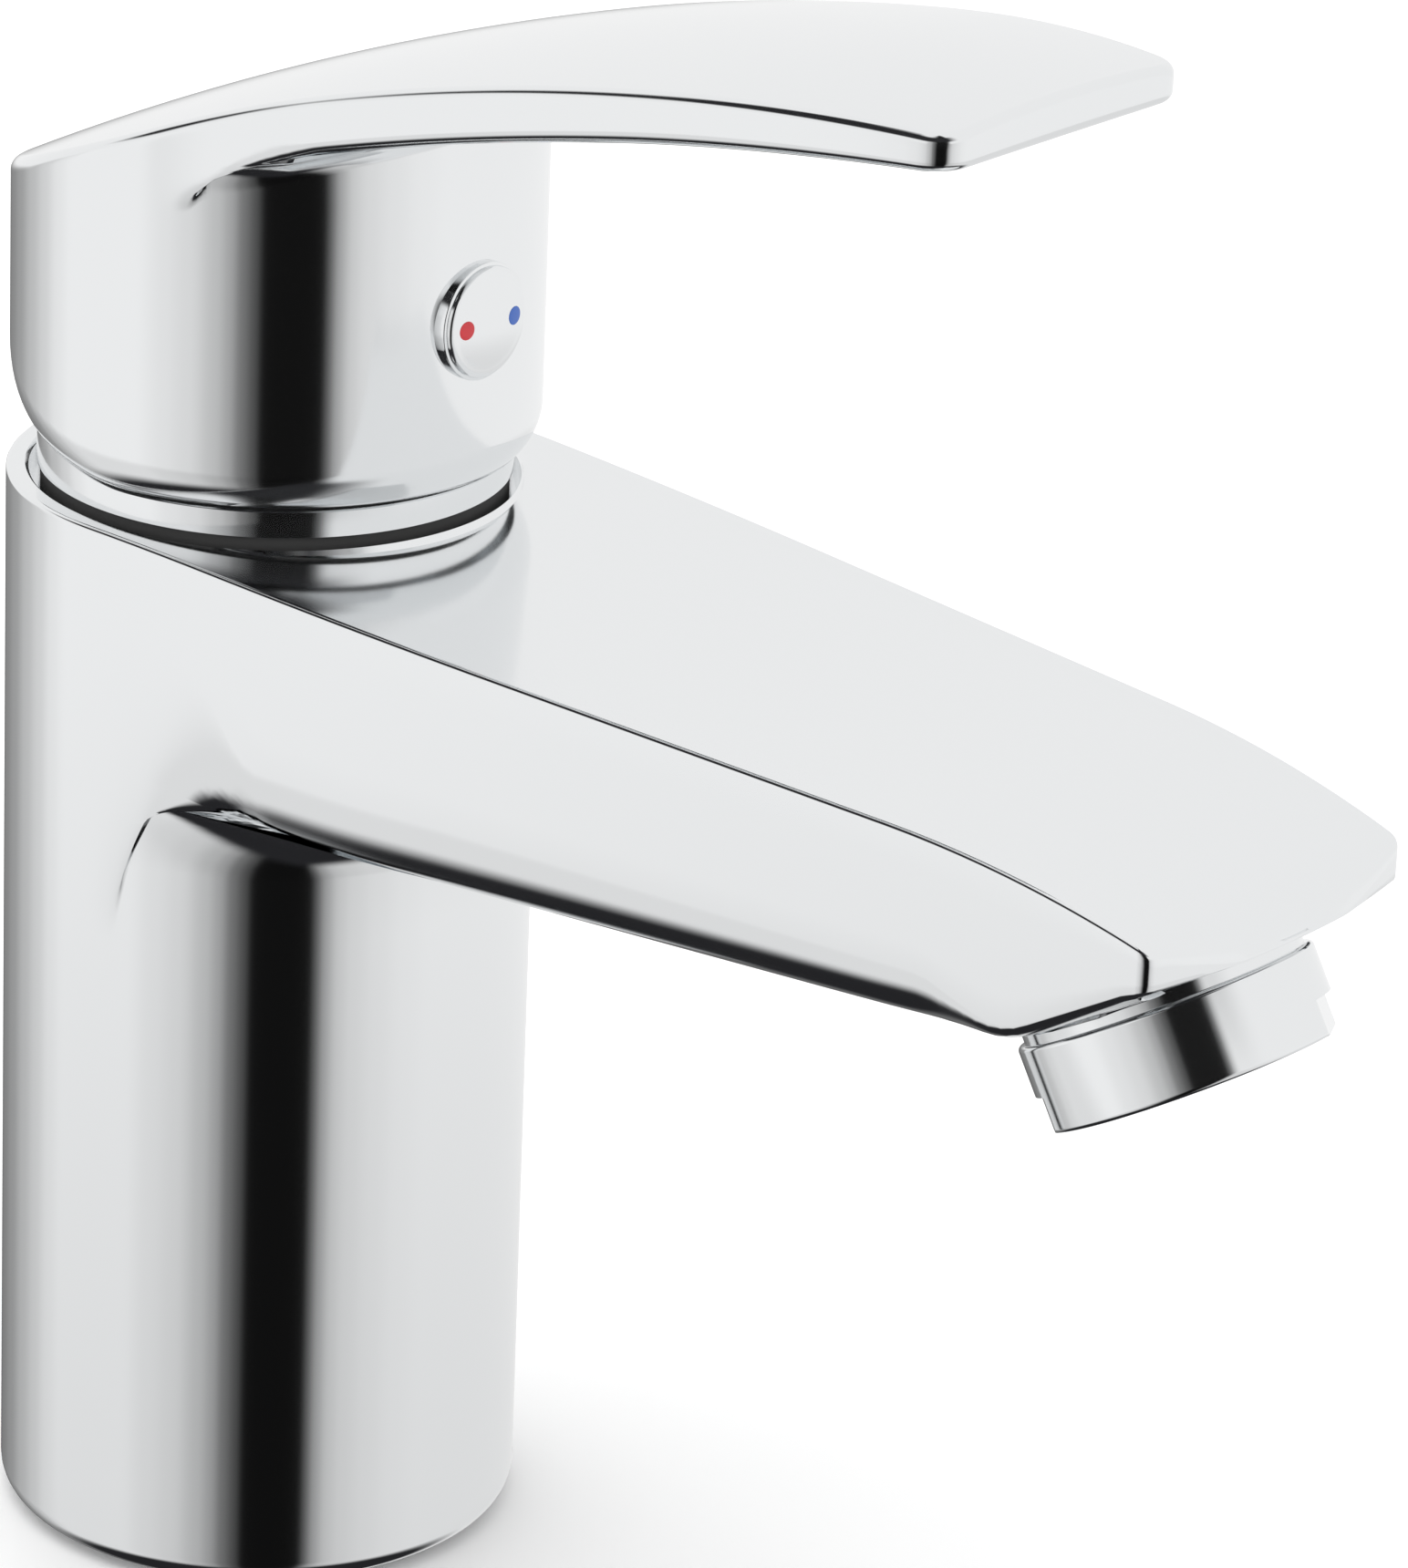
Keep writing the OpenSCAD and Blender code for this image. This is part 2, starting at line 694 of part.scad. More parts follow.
module handle() {
    color([0.88, 0.89, 0.9]) difference() {
        handle_outer();
        difference() {
            cylinder(r = cavity_r, h = cavity_roof);
            translate([0, 0, boss_z]) cylinder(r = 9.5, h = 20);
        }
        translate([-bush_w / 2 - 0.05, -bush_w / 2 - 0.05, boss_z - 1])
            cube([bush_w + 0.1, bush_w + 0.1, bush_top - boss_z + 1]);
        button_frame() {
            cylinder(r = screw_r + fit_gap, h = cap_r);
            translate([0, 0, -button_seat - 4.5]) cylinder(r = button_r - 1.7, h = 20);
            translate([0, 0, -button_seat]) cylinder(r = button_r + 0.45, h = 20);
        }
    }
}

module handle_bush() {
    color([0.2, 0.2, 0.22]) difference() {
        translate([-bush_w / 2, -bush_w / 2, boss_z]) cube([bush_w, bush_w, bush_top - boss_z]);
        translate([-stem_w / 2, -stem_w / 2, boss_z - 1]) cube([stem_w, stem_w, stem_top - boss_z + 1]);
        button_frame() cylinder(r = screw_r + fit_gap, h = cap_r);
    }
}

module handle_screw() {
    color([0.55, 0.56, 0.58]) button_frame() translate([0, 0, stem_w / 2]) difference() {
        cylinder(r = screw_r, h = screw_l);
        translate([0, 0, screw_l - 2.5]) cylinder(r = 1.3, h = 5, $fn = 6);
    }
}

module button_solid() {
    seat = -button_seat;
    face = -button_face;
    dome = 26;
    translate([0, 0, seat - 4.4]) cylinder(r = button_r - 1.8, h = 5);
    translate([0, 0, seat]) cylinder(r = button_r + 0.3, h = 1.5);
    intersection() {
        translate([0, 0, seat]) cylinder(r = button_r, h = 10);
        translate([0, 0, face - dome]) sphere(r = dome, $fn = 192);
    }
}

module dot_pocket(side, depth, grow) {
    button_frame() translate([side * dot_x, 0, -button_face - depth]) cylinder(r = dot_r + grow, h = 5);
}

module index_button() {
    color([0.88, 0.89, 0.9]) difference() {
        button_frame() button_solid();
        dot_pocket(-1, 0.6, 0);
        dot_pocket(1, 0.6, 0);
    }
}

module dot(side) {
    intersection() {
        button_frame() button_solid();
        dot_pocket(side, 0.6, 0);
    }
}

module red_dot() {
    color([0.8, 0.08, 0.08]) dot(-1);
}

module blue_dot() {
    color([0.08, 0.2, 0.65]) dot(1);
}

body();
base_seal();
cartridge_base();
inlet_seals();
fixed_disc();
cartridge_housing();
housing_seal();
retaining_nut();
trim_dome();
aerator_housing();
aerator_washer();
aerator_screen();
aerator_insert();
rotor();
pivot_pin();
limit_ring();
moving_disc();
carrier_seal();
disc_carrier();
stem();
handle();
handle_bush();
handle_screw();
index_button();
red_dot();
blue_dot();
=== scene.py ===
"""Builds the looks of a single-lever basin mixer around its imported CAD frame.

All sizes in this file are millimetres unless a name says otherwise; meshes are scaled once,
when they are made.
"""

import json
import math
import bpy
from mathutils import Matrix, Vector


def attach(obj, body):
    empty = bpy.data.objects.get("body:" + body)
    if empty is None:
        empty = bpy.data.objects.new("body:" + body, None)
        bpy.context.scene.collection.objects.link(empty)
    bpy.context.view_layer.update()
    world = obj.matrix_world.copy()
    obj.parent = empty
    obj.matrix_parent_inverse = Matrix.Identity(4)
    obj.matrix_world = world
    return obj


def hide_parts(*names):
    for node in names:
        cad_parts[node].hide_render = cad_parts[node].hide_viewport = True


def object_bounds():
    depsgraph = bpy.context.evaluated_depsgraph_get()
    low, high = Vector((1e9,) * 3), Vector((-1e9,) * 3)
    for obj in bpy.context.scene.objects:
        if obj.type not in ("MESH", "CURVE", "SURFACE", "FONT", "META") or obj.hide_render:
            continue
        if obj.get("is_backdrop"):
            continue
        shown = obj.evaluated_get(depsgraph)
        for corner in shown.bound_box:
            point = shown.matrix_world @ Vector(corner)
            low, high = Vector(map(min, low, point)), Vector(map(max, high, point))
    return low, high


bl_info = {
    "name": "Basin Mixer",
    "version": (1, 0, 0),
    "blender": (4, 5, 0),
    "location": "View3D > Sidebar > Basin Mixer",
    "description": "Polished skins, small parts, finishes and a plain studio for a basin mixer",
    "category": "Object",
}

import bmesh
import bpy
import numpy as np
from mathutils import Matrix, Vector

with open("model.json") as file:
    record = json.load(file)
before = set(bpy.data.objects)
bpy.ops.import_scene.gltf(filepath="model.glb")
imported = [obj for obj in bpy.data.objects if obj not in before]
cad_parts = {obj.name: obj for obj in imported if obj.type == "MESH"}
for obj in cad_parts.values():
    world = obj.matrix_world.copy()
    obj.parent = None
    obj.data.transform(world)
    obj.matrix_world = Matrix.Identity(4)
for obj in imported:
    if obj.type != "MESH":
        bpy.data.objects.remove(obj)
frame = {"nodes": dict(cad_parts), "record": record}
CAD_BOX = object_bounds()

MM = 0.001
ROOT, TILTING = "mixer", "lever"
HALF_PI = math.pi / 2
CREASE = math.radians(32)
CAD_CREASE = math.radians(28)
MERGE, SLIVER, CAD_WELD = 1e-4, 1e-5, 1e-6
NORMAL_WEIGHT = 60


# ---- small maths -------------------------------------------------------------------------------

def smooth_min(a, b, k):
    """The lower of two values, rounded over a band of width k."""
    h = np.clip(0.5 + 0.5 * (b - a) / k, 0, 1)
    return b * (1 - h) + a * h - k * h * (1 - h)


def smooth_max(a, b, k):
    return -smooth_min(-a, -b, k)


def smooth_step(x, low, high):
    t = np.clip((np.asarray(x, float) - low) / (high - low), 0, 1)
    return t * t * (3 - 2 * t)


def unit(v):
    v = np.asarray(v, float)
    return v / np.maximum(np.linalg.norm(v, axis=-1, keepdims=True), 1e-9)


def direction(angle):
    """Unit vectors in plan at these angles, in radians from +X."""
    return np.stack([np.cos(angle), np.sin(angle)], -1)


def circle_arc(centre, radius, start, end, count):
    """Points of an arc in plan, both ends included."""
    return np.asarray(centre, float) + radius * direction(np.linspace(start, end, count))


def rounded_corner(before, corner, after, radius, count):
    """Points of the arc that rounds a corner between two straight runs."""
    a, b = unit(np.subtract(before, corner)), unit(np.subtract(after, corner))
    half = math.acos(float(np.clip(a @ b, -1, 1))) / 2
    centre = np.asarray(corner, float) + unit(a + b) * radius / math.sin(half)
    reach = radius / math.tan(half)
    p, q = corner + a * reach - centre, corner + b * reach - centre
    start, end = math.atan2(p[1], p[0]), math.atan2(q[1], q[0])
    if end > start:
        end -= 2 * math.pi
    return circle_arc(centre, radius, start, end, count)


def spread(points, count):
    """The same line with points at equal distances."""
    points = np.asarray(points, float)
    along = np.concatenate([[0], np.cumsum(np.linalg.norm(np.diff(points, axis=0), axis=1))])
    at = np.linspace(0, along[-1], count)
    return np.stack([np.interp(at, along, points[:, i]) for i in (0, 1)], -1)


# ---- meshes ------------------------------------------------------------------------------------

def finish_mesh(bm, name, body):
    """Makes an object that rides on a body from a bmesh in millimetres, smooth but for creases."""
    bmesh.ops.remove_doubles(bm, verts=bm.verts, dist=MERGE)
    bmesh.ops.dissolve_degenerate(bm, dist=SLIVER, edges=bm.edges)
    bmesh.ops.recalc_face_normals(bm, faces=bm.faces)
    for f in bm.faces:
        f.smooth = True
    for e in bm.edges:
        e.smooth = len(e.link_faces) == 2 and e.calc_face_angle(0) < CREASE
    bmesh.ops.scale(bm, vec=(MM, MM, MM), verts=bm.verts)
    mesh = bpy.data.meshes.new(name)
    bm.to_mesh(mesh)
    bm.free()
    obj = bpy.data.objects.new(name, mesh)
    bpy.context.scene.collection.objects.link(obj)
    normals = obj.modifiers.new("even_normals", "WEIGHTED_NORMAL")
    normals.keep_sharp = True
    normals.weight = NORMAL_WEIGHT
    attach(obj, body)
    return obj


def add_rings(bm, rings, cap_start=True, cap_end=True):
    """Joins rings of equal length with four-sided faces; a cap is a fan to the ring's middle."""
    made = [[bm.verts.new(p) for p in ring] for ring in rings]
    count = len(made[0])
    for low, high in zip(made, made[1:]):
        for i in range(count):
            j = (i + 1) % count
            bm.faces.new((low[i], low[j], high[j], high[i]))
    for wanted, ring in ((cap_start, made[0]), (cap_end, made[-1])):
        if wanted:
            middle = bm.verts.new(sum((v.co for v in ring), Vector()) / count)
            for i in range(count):
                bm.faces.new((ring[(i + 1) % count], ring[i], middle))
    return made


def lathe(name, body, profile, place=Matrix.Identity(4), segments=144, shape=None, closed=False):
    """Turns a profile of (radius, height) points about the local Z axis."""
    turn = direction(np.linspace(0, 2 * math.pi, segments, endpoint=False))
    rings = []
    for radius, height in profile:
        points = np.column_stack([turn * max(radius, 1e-3), np.full(segments, height)])
        rings.append(points if shape is None else shape(points))
    if closed:
        rings.append(rings[0])
    bm = bmesh.new()
    add_rings(bm, rings, not closed, not closed)
    bmesh.ops.transform(bm, matrix=place, verts=bm.verts)
    return finish_mesh(bm, name, body)


def arc_profile(radius, height, r, start, end, count=6):
    """Points of a rounded edge in a lathe profile, angles in degrees."""
    a = np.radians(np.linspace(start, end, count))
    return [(radius + r * math.cos(t), height + r * math.sin(t)) for t in a]


# ---- a slab that grows out of a round column -----------------------------------------------------

FLARE_START, FLARE_FULL = 2.0, 12.0   # distances from the column over which the slab takes shape
ROOT_SHARE, EDGE_SHARE = 0.42, 0.58   # shares of the flare's rise at the fillet and lower edge
THIN_SHARE = 0.3                      # most of the slab's thickness that one rounding takes
NARROW_SHARE = 0.5                    # most of the way to the side wall that one rounding takes
FACING, FAR = 0.02, 99.0              # least sideways lean of a ray, and its reach without one
FRONT_STRETCH = 3.0                   # how fast the reach grows in front of the column
ROUND_STEPS, BEVEL_STEPS = 10, 6
WALL_LEVELS = (0.2, 0.4, 0.6, 0.8)
TOP_CROWDING = 1.5                    # crowds the rings of the top face near its rim


def closed_loop(half):
    """A closed outline from its +X half, which runs from the back to the front."""
    half = np.asarray(half, float)
    return np.vstack([half, half[-2:0:-1] * [-1, 1]])


def outward(loop):
    """Outward normals of a closed outline that runs clockwise from the back."""
    along = unit(np.roll(loop, -1, axis=0) - np.roll(loop, 1, axis=0))
    return np.column_stack([-along[:, 1], along[:, 0]])


def slab_rings(outline, circle_r, start, top, under, edge, fillet, flare_h, corner, levels, inner,
               steps):
    """Rings that climb a round column, turn out under the slab, round its edge and cross its top.

    outline is the slab's plan and start the index where it leaves the column. top gives the height
    of the top face at points in plan, under that of the lower face at a y, flare_h how much taller
    the S-shaped flare beside the column is, corner the width and height of the rounded lower edge,
    levels the heights of the column below the fillet, and inner the curve on the top face where
    the rings end.
    """
    count = len(outline)
    half = count // 2
    share = np.zeros(half + 1)
    share[start:] = np.linspace(0, 1, half + 1 - start)
    begin = math.atan2(outline[start][1], outline[start][0])
    front = begin + (-HALF_PI - begin) * share[start:]
    angles = np.concatenate([np.arctan2(outline[:start, 1], outline[:start, 0]), front])
    column = closed_loop(circle_r * direction(angles))
    column[:start + 1] = outline[:start + 1]
    column[count - start:] = outline[count - start:]
    out = outward(outline)
    away = unit(column)

    def room(points, ways):
        """Distance from points on the column to the slab's side wall."""
        wall = np.interp(-points[:, 1], -outline[:half + 1, 1], outline[:half + 1, 0])
        lean = np.abs(ways[:, 0])
        return np.where(lean > FACING,
                        (wall - np.abs(points[:, 0])) / np.maximum(lean, FACING), FAR)

    def gap(points):
        """Distance from points on the outline back to the column."""
        inside = np.maximum(circle_r ** 2 - points[:, 1] ** 2, 0)
        reach = np.abs(points[:, 0]) - np.sqrt(inside)
        reach = reach + FRONT_STRETCH * np.maximum(np.abs(points[:, 1]) - circle_r, 0)
        return np.where(points[:, 1] < 0, np.maximum(reach, -points[:, 1] - circle_r), 0)

    fillet_r = np.clip(np.minimum(fillet, NARROW_SHARE * room(column, away)), 0, None)
    corner_w, corner_h = corner(outline[:, 1])
    corner_h = np.minimum(corner_h, THIN_SHARE * (top(outline) - under(outline[:, 1])))
    corner_w = np.clip(np.minimum(corner_w, NARROW_SHARE * gap(outline)), 0, None)
    back = (np.arange(count) <= start) | (np.arange(count) >= count - start)
    fillet_r[back] = 0
    corner_w[back] = 0
    base = under(column[:, 1])
    foot = under(outline[:, 1])
    spread_out = smooth_step(gap(outline), FLARE_START, FLARE_FULL)
    root_z = base - fillet - (1 - spread_out) * flare_h
    skirt_z = foot + corner_h + (1 - spread_out) * flare_h

    def skirt(plan, z, s):
        """Eases a ring under the slab into an S-shaped flare where the slab is narrow."""
        flare = column + (outline - column) * float(smooth_step(s, 0, 1))
        flare_z = root_z + (skirt_z - root_z) * s
        return np.column_stack([flare + (plan - flare) * spread_out[:, None],
                                flare_z + (z - flare_z) * spread_out])

    rings = []
    for low, share_up in levels:
        z = low(column) + (root_z - low(column)) * share_up
        rings.append(np.column_stack([column, z]))
    turns = np.linspace(0, HALF_PI, ROUND_STEPS)
    for t in turns:
        root = column + away * (fillet_r * (1 - math.cos(t)))[:, None]
        rings.append(skirt(root, base - fillet * (1 - math.sin(t)), ROOT_SHARE * t / HALF_PI))
    inner_edge = outline - out * corner_w[:, None]
    for u in np.linspace(0, 1, steps + 1)[1:-1]:
        plan = root + (inner_edge - root) * u
        share = ROOT_SHARE + (EDGE_SHARE - ROOT_SHARE) * u
        rings.append(skirt(plan, under(plan[:, 1]), share))
    for t in turns:
        plan = outline - out * (corner_w * (1 - math.sin(t)))[:, None]
        share = EDGE_SHARE + (1 - EDGE_SHARE) * t / HALF_PI
        rings.append(skirt(plan, foot + corner_h * (1 - math.cos(t)), share))
    crown = top(outline)
    bevel = np.minimum(edge, THIN_SHARE * (crown - foot))
    for u in WALL_LEVELS:
        rings.append(np.column_stack([outline, skirt_z + (crown - bevel - skirt_z) * u]))
    for t in np.linspace(0, HALF_PI, BEVEL_STEPS):
        plan = outline - out * (bevel * (1 - math.cos(t)))[:, None]
        rings.append(np.column_stack([plan, top(plan) - bevel * (1 - math.sin(t))]))
    rim = rings[-1][:, :2]
    for u in np.linspace(0, 1, steps + 1)[1:] ** TOP_CROWDING:
        plan = rim + (inner(outline, column) - rim) * u
        rings.append(np.column_stack([plan, top(plan)]))
    return rings


def flat_ring(points, radius, height):
    """A circle of that radius whose points lie at the same angles as the given ones."""
    turned = unit(points[:, :2]) * radius
    return np.column_stack([turned, np.full(len(points), height)])


# ---- body ----------------------------------------------------------------------------------------

BODY_R, BODY_TOP = 24.0, 100.5
BASE_EDGE_R, FOOT_R = 2.5, 21.5
SLOPE_Y, SLOPE, TOP_EASE = -5.0, math.radians(3.08), 0.5
NOSE_Y, NOSE_Z, NOSE_LIP = -113.6, 88.4, 0.35
BLEND_Y, BLEND_R, BLEND_END = NOSE_Y + 28.2, 110.0, math.radians(16)
NOSE_R, NOSE_END = 5.0, math.radians(72)
NOSE_HALF, NOSE_BULGE, NOSE_CORNER_R = 17.6, 2.4, 1.4
SIDE_SLOPE, SIDE_EASE = 0.0735, 1.6
UNDER_Z = 76.5
RISE_START, RISE, RISE_EASE = BODY_R + 6.5, math.tan(math.radians(2.3)), 4
FACET, FACET_EASE = math.radians(30), 1.2
OUTLET_BACK = 13.4
OUTLET_Y, OUTLET_Z = NOSE_Y + OUTLET_BACK, NOSE_Z - OUTLET_BACK * math.tan(FACET)
FLATTEN_FROM, FLATTEN_TO = 84, 100    # where along the spout its lower edge flattens
LOWER_EDGE_W, LOWER_EDGE_WIDER = 4.2, 0.8
LOWER_EDGE_H, LOWER_EDGE_FLATTER = 6.5, 4.6
BODY_FLARE = 8.0
HOLE_BEVEL, HOLE_FLOOR = 0.3, 97
NUT_R, NUT_SEAT = 19.5, 93
CHAMBER_R, CHAMBER_FLOOR = 17.8, 62
GROOVE_IN, GROOVE_OUT, GROOVE_TOP = 15.98, 19.6, 3.02
BASE_R, BASE_TOP = 15.97, 18.45
STUD_HOLE = (0, 10.5, 3.4, 16)        # x, y, radius, depth
HOSE_HOLES = ((7.2, -4, 4.5, 12), (-7.2, -4, 4.5, 12))
HOLE_LEAD = 0.5
BOSS_BORE, BOSS_R, BOSS_TOP = 11.6, 13.5, 4.5


def body_top(y):
    """Height of the top face along the spout."""
    y = np.asarray(y, float)
    plane = BODY_TOP + (y - SLOPE_Y) * math.tan(SLOPE)
    flat = smooth_min(BODY_TOP + 0 * y, plane, TOP_EASE)
    blend_z = BODY_TOP + (BLEND_Y - SLOPE_Y) * math.tan(SLOPE)
    arc_y = BLEND_Y - BLEND_R * (math.sin(BLEND_END) - math.sin(SLOPE))
    arc_z = blend_z - BLEND_R * (math.cos(SLOPE) - math.cos(BLEND_END))
    bend = np.arcsin(np.clip(math.sin(SLOPE) + (BLEND_Y - y) / BLEND_R, -1, 1))
    nose = np.arcsin(np.clip(math.sin(BLEND_END) + (arc_y - y) / NOSE_R, -1, math.sin(NOSE_END)))
    low = np.where(y < arc_y, arc_z - NOSE_R * (math.cos(BLEND_END) - np.cos(nose)),
                   blend_z - BLEND_R * (math.cos(SLOPE) - np.cos(bend)))
    return np.where(y > BLEND_Y, flat, np.maximum(low, NOSE_Z + NOSE_LIP))


def body_under(y):
    """Height of the underside, which rises gently and turns up along the outlet's facet."""
    y = np.asarray(y, float)
    rising = UNDER_Z + RISE * smooth_max(-y - RISE_START, 0 * y, RISE_EASE)
    return smooth_max(rising, NOSE_Z + (NOSE_Y - y) * math.tan(FACET), FACET_EASE)


def body_outline():
    """Plan of the body, and the index where the spout leaves the column."""
    back = BODY_R * direction(np.radians(np.linspace(90, 0, 49)))
    y = -np.linspace(0, -NOSE_Y - NOSE_BULGE, 400)
    taper = NOSE_HALF + SIDE_SLOPE * (y - NOSE_Y - NOSE_BULGE)
    side = np.column_stack([smooth_min(BODY_R + 0 * y, taper, SIDE_EASE), y])
    bulge_r = (NOSE_HALF ** 2 + NOSE_BULGE ** 2) / (2 * NOSE_BULGE)
    half = math.asin(NOSE_HALF / bulge_r)
    nose = circle_arc((0, NOSE_Y + bulge_r), bulge_r, -HALF_PI + half, -HALF_PI, 120)
    corner = rounded_corner(side[-12], side[-1], nose[8], NOSE_CORNER_R, 9)
    side = side[side[:, 1] > corner[0][1] + 0.1]
    nose = nose[nose[:, 0] < corner[-1][0] - 0.1]
    side = spread(np.vstack([side, corner[:1]]), 90)
    nose = spread(np.vstack([corner[-1:], nose]), 18)
    nose[-1][0] = 0
    return closed_loop(np.vstack([back, side[1:], corner[1:-1], nose])), len(back) - 1


def body_corner(y):
    """Width and height of the spout's rounded lower edge, which flattens towards the facet."""
    turn = smooth_step(-np.asarray(y, float), FLATTEN_FROM, FLATTEN_TO)
    return LOWER_EDGE_W + LOWER_EDGE_WIDER * turn, LOWER_EDGE_H - LOWER_EDGE_FLATTER * turn


def make_body(settings):
    outline, start = body_outline()
    hole = settings.hole_radius / MM

    def inner(points, column):
        return unit(column) * (hole + HOLE_BEVEL)

    edge = settings.edge_radius / MM
    levels = [(lambda c: np.full(len(c), BASE_EDGE_R), u) for u in np.linspace(0, 1, 12)[1:-1]]
    rings = slab_rings(outline, BODY_R, start, lambda p: body_top(p[:, 1]), body_under, edge,
                       settings.root_fillet / MM, BODY_FLARE, body_corner, levels, inner, 48)
    plan = rings[0]
    foot = [(GROOVE_IN, BASE_TOP + 0.05), (GROOVE_IN, GROOVE_TOP), (GROOVE_OUT, GROOVE_TOP),
            (GROOVE_OUT, 0), (FOOT_R, 0)]
    foot += arc_profile(FOOT_R, BASE_EDGE_R, BASE_EDGE_R, -80, 0, 8)
    bottom = [flat_ring(plan, r, z) for r, z in foot]
    inside = [(hole, BODY_TOP - HOLE_BEVEL), (hole, HOLE_FLOOR), (NUT_R, HOLE_FLOOR),
              (NUT_R, NUT_SEAT), (CHAMBER_R, NUT_SEAT), (CHAMBER_R, CHAMBER_FLOOR)]
    chamber = [flat_ring(rings[-1], r, z) for r, z in inside]
    bm = bmesh.new()
    add_rings(bm, bottom + rings + chamber)
    return finish_mesh(bm, "body_skin", ROOT)


def outlet_place():
    """Local +Z runs up into the spout along the outlet's axis."""
    return Matrix.Translation((0, OUTLET_Y, OUTLET_Z)) @ Matrix.Rotation(-FACET, 4, "X")


def plate_with_holes(name, body, radius, low, high, holes, rim_points=96, hole_points=64):
    """A round block from low to high with blind holes (x, y, radius, depth) in its lower face."""
    bm = bmesh.new()

    def loop(cx, cy, r, z, count):
        turn = direction(np.linspace(0, 2 * math.pi, count, endpoint=False))
        return [bm.verts.new((cx + r * c, cy + r * s, z)) for c, s in turn]

    def join(a, b):
        for i in range(len(a)):
            j = (i + 1) % len(a)
            bm.faces.new((a[i], a[j], b[j], b[i]))

    def edges_of(ring):
        return [bm.edges.get((ring[i], ring[(i + 1) % len(ring)])) for i in range(len(ring))]

    rim = loop(0, 0, radius, low, rim_points)
    top = loop(0, 0, radius, high, rim_points)
    join(rim, top)
    bm.faces.new(top)
    edges = edges_of(rim)
    for x, y, r, depth in holes:
        mouth = loop(x, y, r + HOLE_LEAD, low, hole_points)
        throat = loop(x, y, r, low + HOLE_LEAD, hole_points)
        end = loop(x, y, r, low + depth, hole_points)
        join(mouth, throat)
        join(throat, end)
        tip = bm.verts.new((x, y, low + depth + r / 2))
        for i in range(hole_points):
            bm.faces.new((end[i], end[(i + 1) % hole_points], tip))
        edges += edges_of(mouth)
    bmesh.ops.triangle_fill(bm, use_beauty=True, edges=edges)
    return finish_mesh(bm, name, body)


# ---- handle --------------------------------------------------------------------------------------

CAP_R, CAP_Z = 23.7, 103.6
CAP_RELIEF, RELIEF_EASE = math.tan(math.radians(8.5)), 3
CAP_EDGE_R, CAP_INSET = 5.0, 1.9
ROUNDING, ROUNDING_MORE, ROUNDING_FROM, ROUNDING_TO = 4.0, 3.2, 4, 24
LEVER_Y, LEVER_TOP, LEVER_TIP_T = -85.8, 153.9, 2.7
ARCH_R, ARCH_BACK, UNDER_R, UNDER_BACK = 255.0, 9.2, 345.0, 35.2
ARCH_Y, UNDER_Y = LEVER_Y - ARCH_BACK, LEVER_Y - UNDER_BACK
UNDER_TOP = (LEVER_TOP - LEVER_TIP_T - ARCH_BACK ** 2 / (2 * ARCH_R)
             + UNDER_BACK ** 2 / (2 * UNDER_R))
BEND_Y, DROOP_R = LEVER_Y + 26, 130.0
UNDER_BEND_Y, UNDER_DROOP_R = BEND_Y + 5, DROOP_R + 70
TIP_HALF, ROOT_HALF, TIP_R = 17.9, 21.2, 3.5
SIDE_BEND_R, BLEND_SIDE_R = 150.0, 60.0
CROWN = 1.5
LEVER_FILLET, LEVER_FLARE, LEVER_LOWER_EDGE = 2.6, 1.0, 1.3
RIDGE_SHARE, RIDGE_FRONT, RIDGE_BACK = 0.92, -80, 12  # line on which the top face closes
CAVITY_R, CAVITY_TOP, CAVITY_EDGE = 21.7, 118.0, 0.6
LIP_W, LIP_H = 0.08, 0.25


def arch(y, top_y, top_z, radius, bend_y, bend_r):
    """Height of an arch that carries on with a smaller radius beyond bend_y."""
    y = np.asarray(y, float)
    turn = math.asin((bend_y - top_y) / radius)
    tip_y = top_y + (radius - bend_r) * math.sin(turn)
    tip_z = top_z - radius + (radius - bend_r) * math.cos(turn)
    far = top_z - radius + np.sqrt(radius ** 2 - np.minimum(np.abs(y - top_y), 200) ** 2)
    near = tip_z + np.sqrt(bend_r ** 2 - np.minimum(np.abs(y - tip_y), bend_r * 0.9) ** 2)
    return np.where(y > bend_y, far, near)


def lever_top(plan):
    """Height of the lever's top face, which swells a little between its two long edges."""
    x, y = plan[:, 0], plan[:, 1]
    swell = CROWN * (1 - (x / ROOT_HALF) ** 2)
    return arch(y, ARCH_Y, LEVER_TOP, ARCH_R, BEND_Y, DROOP_R) + swell


def lever_under(y):
    return arch(y, UNDER_Y, UNDER_TOP, UNDER_R, UNDER_BEND_Y, UNDER_DROOP_R)


def lever_outline():
    lean = math.atan((ROOT_HALF - TIP_HALF) / -LEVER_Y)
    reach = CAP_R + BLEND_SIDE_R
    turn = math.acos((ROOT_HALF * math.cos(lean) + BLEND_SIDE_R) / reach) + lean
    centre = reach * direction(-turn)
    back = CAP_R * direction(np.linspace(HALF_PI, -turn, 61))
    hollow = circle_arc(centre, BLEND_SIDE_R, math.pi - turn, math.pi - lean, 40)
    bend = np.array([ROOT_HALF + BEND_Y * math.tan(lean) - SIDE_BEND_R * math.cos(lean),
                     BEND_Y + SIDE_BEND_R * math.sin(lean)])
    end = math.asin((-LEVER_Y - TIP_R + bend[1]) / (SIDE_BEND_R - TIP_R))
    side_bend = circle_arc(bend, SIDE_BEND_R, -lean, -end, 30)
    middle = bend + (SIDE_BEND_R - TIP_R) * direction(-end)
    corner = circle_arc(middle, TIP_R, -end, -HALF_PI, 12)
    hollow = np.vstack([hollow, side_bend])
    tip = np.linspace(corner[-1], (0, LEVER_Y), 40)
    side = spread(np.vstack([hollow, corner[:1]]), 64)
    tip = spread(tip, 14)
    return closed_loop(np.vstack([back, side[1:], corner[1:-1], tip])), len(back) - 1


def lever_corner(y):
    """Width and height of the lever's rounded lower edge."""
    size = LEVER_LOWER_EDGE + 0 * np.asarray(y, float)
    return size, size


